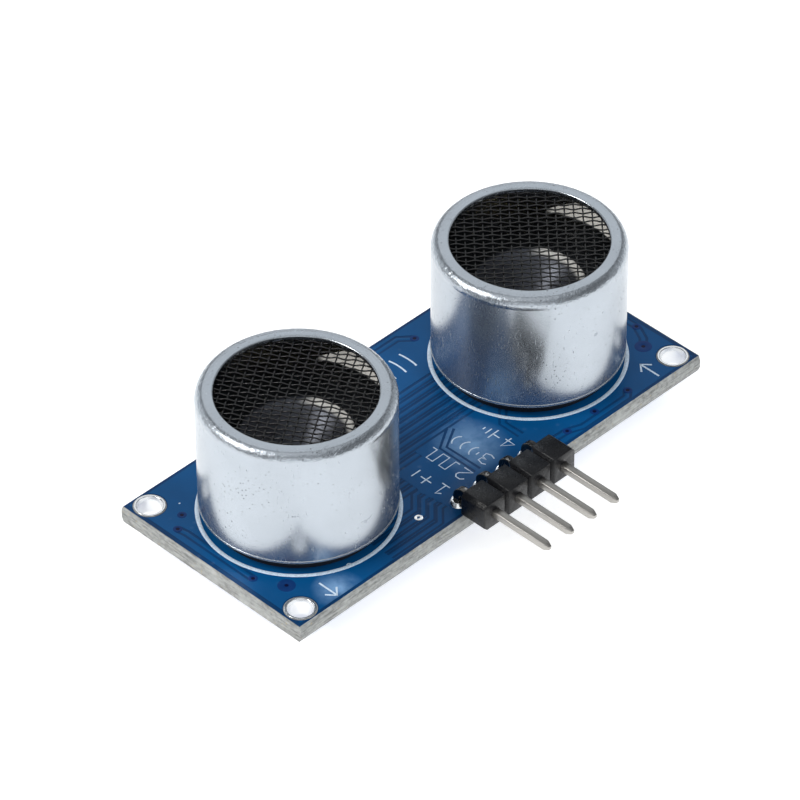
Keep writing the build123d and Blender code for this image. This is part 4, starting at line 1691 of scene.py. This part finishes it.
@dataclass
class Studio:
    """A pale floor, soft lights and the camera."""

    azimuth: float = -44.96
    elevation: float = 40.57
    roll: float = -0.34
    distance: float = 434.7 * MM
    aim: tuple[float, float, float] = (1.7 * MM, 3.4 * MM, 1.6 * MM)
    lens: float = 245.5
    floor_size: float = 6.0
    floor_gap: float = 0.02 * MM
    floor_glow: float = 0.64
    light_reach: float = 0.75
    viewer_turn: float = -135.0

    def build(self) -> None:
        """Sets the floor, the lights, the world and the camera."""
        self.floor()
        self.lights()
        self.camera()
        bpy.context.scene.view_settings.view_transform = "Standard"

    def floor(self) -> None:
        """A wide pale floor under the sensor, which is clear from beneath."""
        deselect()
        level = CAD_BOX[0][2] - self.floor_gap
        bpy.ops.mesh.primitive_plane_add(size=self.floor_size, location=(0, 0, level))
        floor = started("floor")
        material = bpy.data.materials.new("floor")
        material.use_nodes = True
        nodes = Nodes(material.node_tree)
        shader = material.node_tree.nodes["Principled BSDF"]
        cloud = nodes.ramp(nodes.noise(nodes.places(), 3.0), 0.3, 0.7)
        nodes.put(shader.inputs["Base Color"], nodes.blend(cloud, *FLOOR_TONES))
        shader.inputs["Roughness"].default_value = 0.9
        shader.inputs["Specular IOR Level"].default_value = 0.1
        shader.inputs["Emission Color"].default_value = (1.0, 1.0, 1.0, 1.0)
        shader.inputs["Emission Strength"].default_value = self.floor_glow
        clear = nodes.add("ShaderNodeBsdfTransparent").outputs[0]
        below = nodes.add("ShaderNodeNewGeometry").outputs["Backfacing"]
        mixed = nodes.add("ShaderNodeMixShader", Fac=below)
        nodes.put(mixed.inputs[1], shader.outputs[0])
        nodes.put(mixed.inputs[2], clear)
        nodes.put(material.node_tree.nodes["Material Output"].inputs["Surface"], mixed.outputs[0])
        floor.data.materials.append(material)

    def light(self, name: str, side: float, rise: float, size: float, power: float,
              tint: Colour = (1, 1, 1), shines: bool = True) -> None:
        """A soft square light that faces the sensor.

        Args:
            name: Its name.
            side: Degrees from the viewer round to the viewer's left.
            rise: Degrees above the floor.
            size: How wide it is.
            power: Its power in watts.
            tint: Its colour.
            shines: Whether it shows in reflections.
        """
        data = bpy.data.lights.new(name, "AREA")
        data.size = size
        data.energy = power
        data.color = tint
        light = bpy.data.objects.new(name, data)
        turn, lift = math.radians(self.viewer_turn - side), math.radians(rise)
        flat = math.cos(lift)
        place = Vector((math.cos(turn) * flat, math.sin(turn) * flat, math.sin(lift)))
        light.location = place * self.light_reach
        light.visible_glossy = shines
        light.rotation_euler = (-place).to_track_quat("-Z", "Y").to_euler()
        bpy.context.scene.collection.objects.link(light)

    def lights(self) -> None:
        """Seven soft lights and an even pale world."""
        self.light("key", 76.0, 43.0, 0.3, 3.4, (1.0, 0.985, 0.96))
        self.light("rear", 180.0, 38.0, 0.5, 0.6, (0.95, 0.98, 1.0))
        self.light("rear_left", 128.0, 15.0, 0.5, 0.55, (0.95, 0.98, 1.0))
        self.light("rear_right", -128.0, 15.0, 0.5, 0.4, (0.95, 0.98, 1.0))
        self.light("right", -60.0, 38.0, 0.5, 2.1, (0.95, 0.98, 1.0), shines=False)
        self.light("top", 0.0, 82.0, 0.75, 1.1, (0.97, 0.99, 1.0))
        self.light("front", 0.0, 14.0, 0.6, 1.0, (0.97, 0.99, 1.0))
        world = bpy.data.worlds.new("studio")
        world.use_nodes = True
        back = world.node_tree.nodes["Background"]
        back.inputs["Color"].default_value = (0.93, 0.96, 1.0, 1.0)
        back.inputs["Strength"].default_value = 0.2
        bpy.context.scene.world = world

    def camera(self) -> None:
        """The camera, at the sensor's usual three-quarter view."""
        turn, rise = math.radians(self.azimuth), math.radians(self.elevation)
        flat = math.cos(rise)
        look = Vector((-math.sin(turn) * flat, math.cos(turn) * flat, -math.sin(rise)))
        data = bpy.data.cameras.new("camera")
        data.lens = self.lens
        data.sensor_width = 36.0
        data.clip_start = 0.01
        camera = bpy.data.objects.new("camera", data)
        camera.location = Vector(self.aim) - look * self.distance
        roll = Euler((0, 0, math.radians(self.roll))).to_quaternion()
        camera.rotation_euler = (look.to_track_quat("-Z", "Y") @ roll).to_euler()
        bpy.context.scene.collection.objects.link(camera)
        bpy.context.scene.camera = camera


def main() -> None:
    """Builds the studio and the sensor in order."""
    logging.basicConfig(level=logging.INFO, format="%(message)s")
    Studio().build()
    Board().build()
    for side, turn in CLOTH_TURNS.items():
        Transducer(side, turn).build()
    Header().build()
    Vias().build()
    Printing().build()
    BackParts().build()


if __name__ == "__main__":
    main()
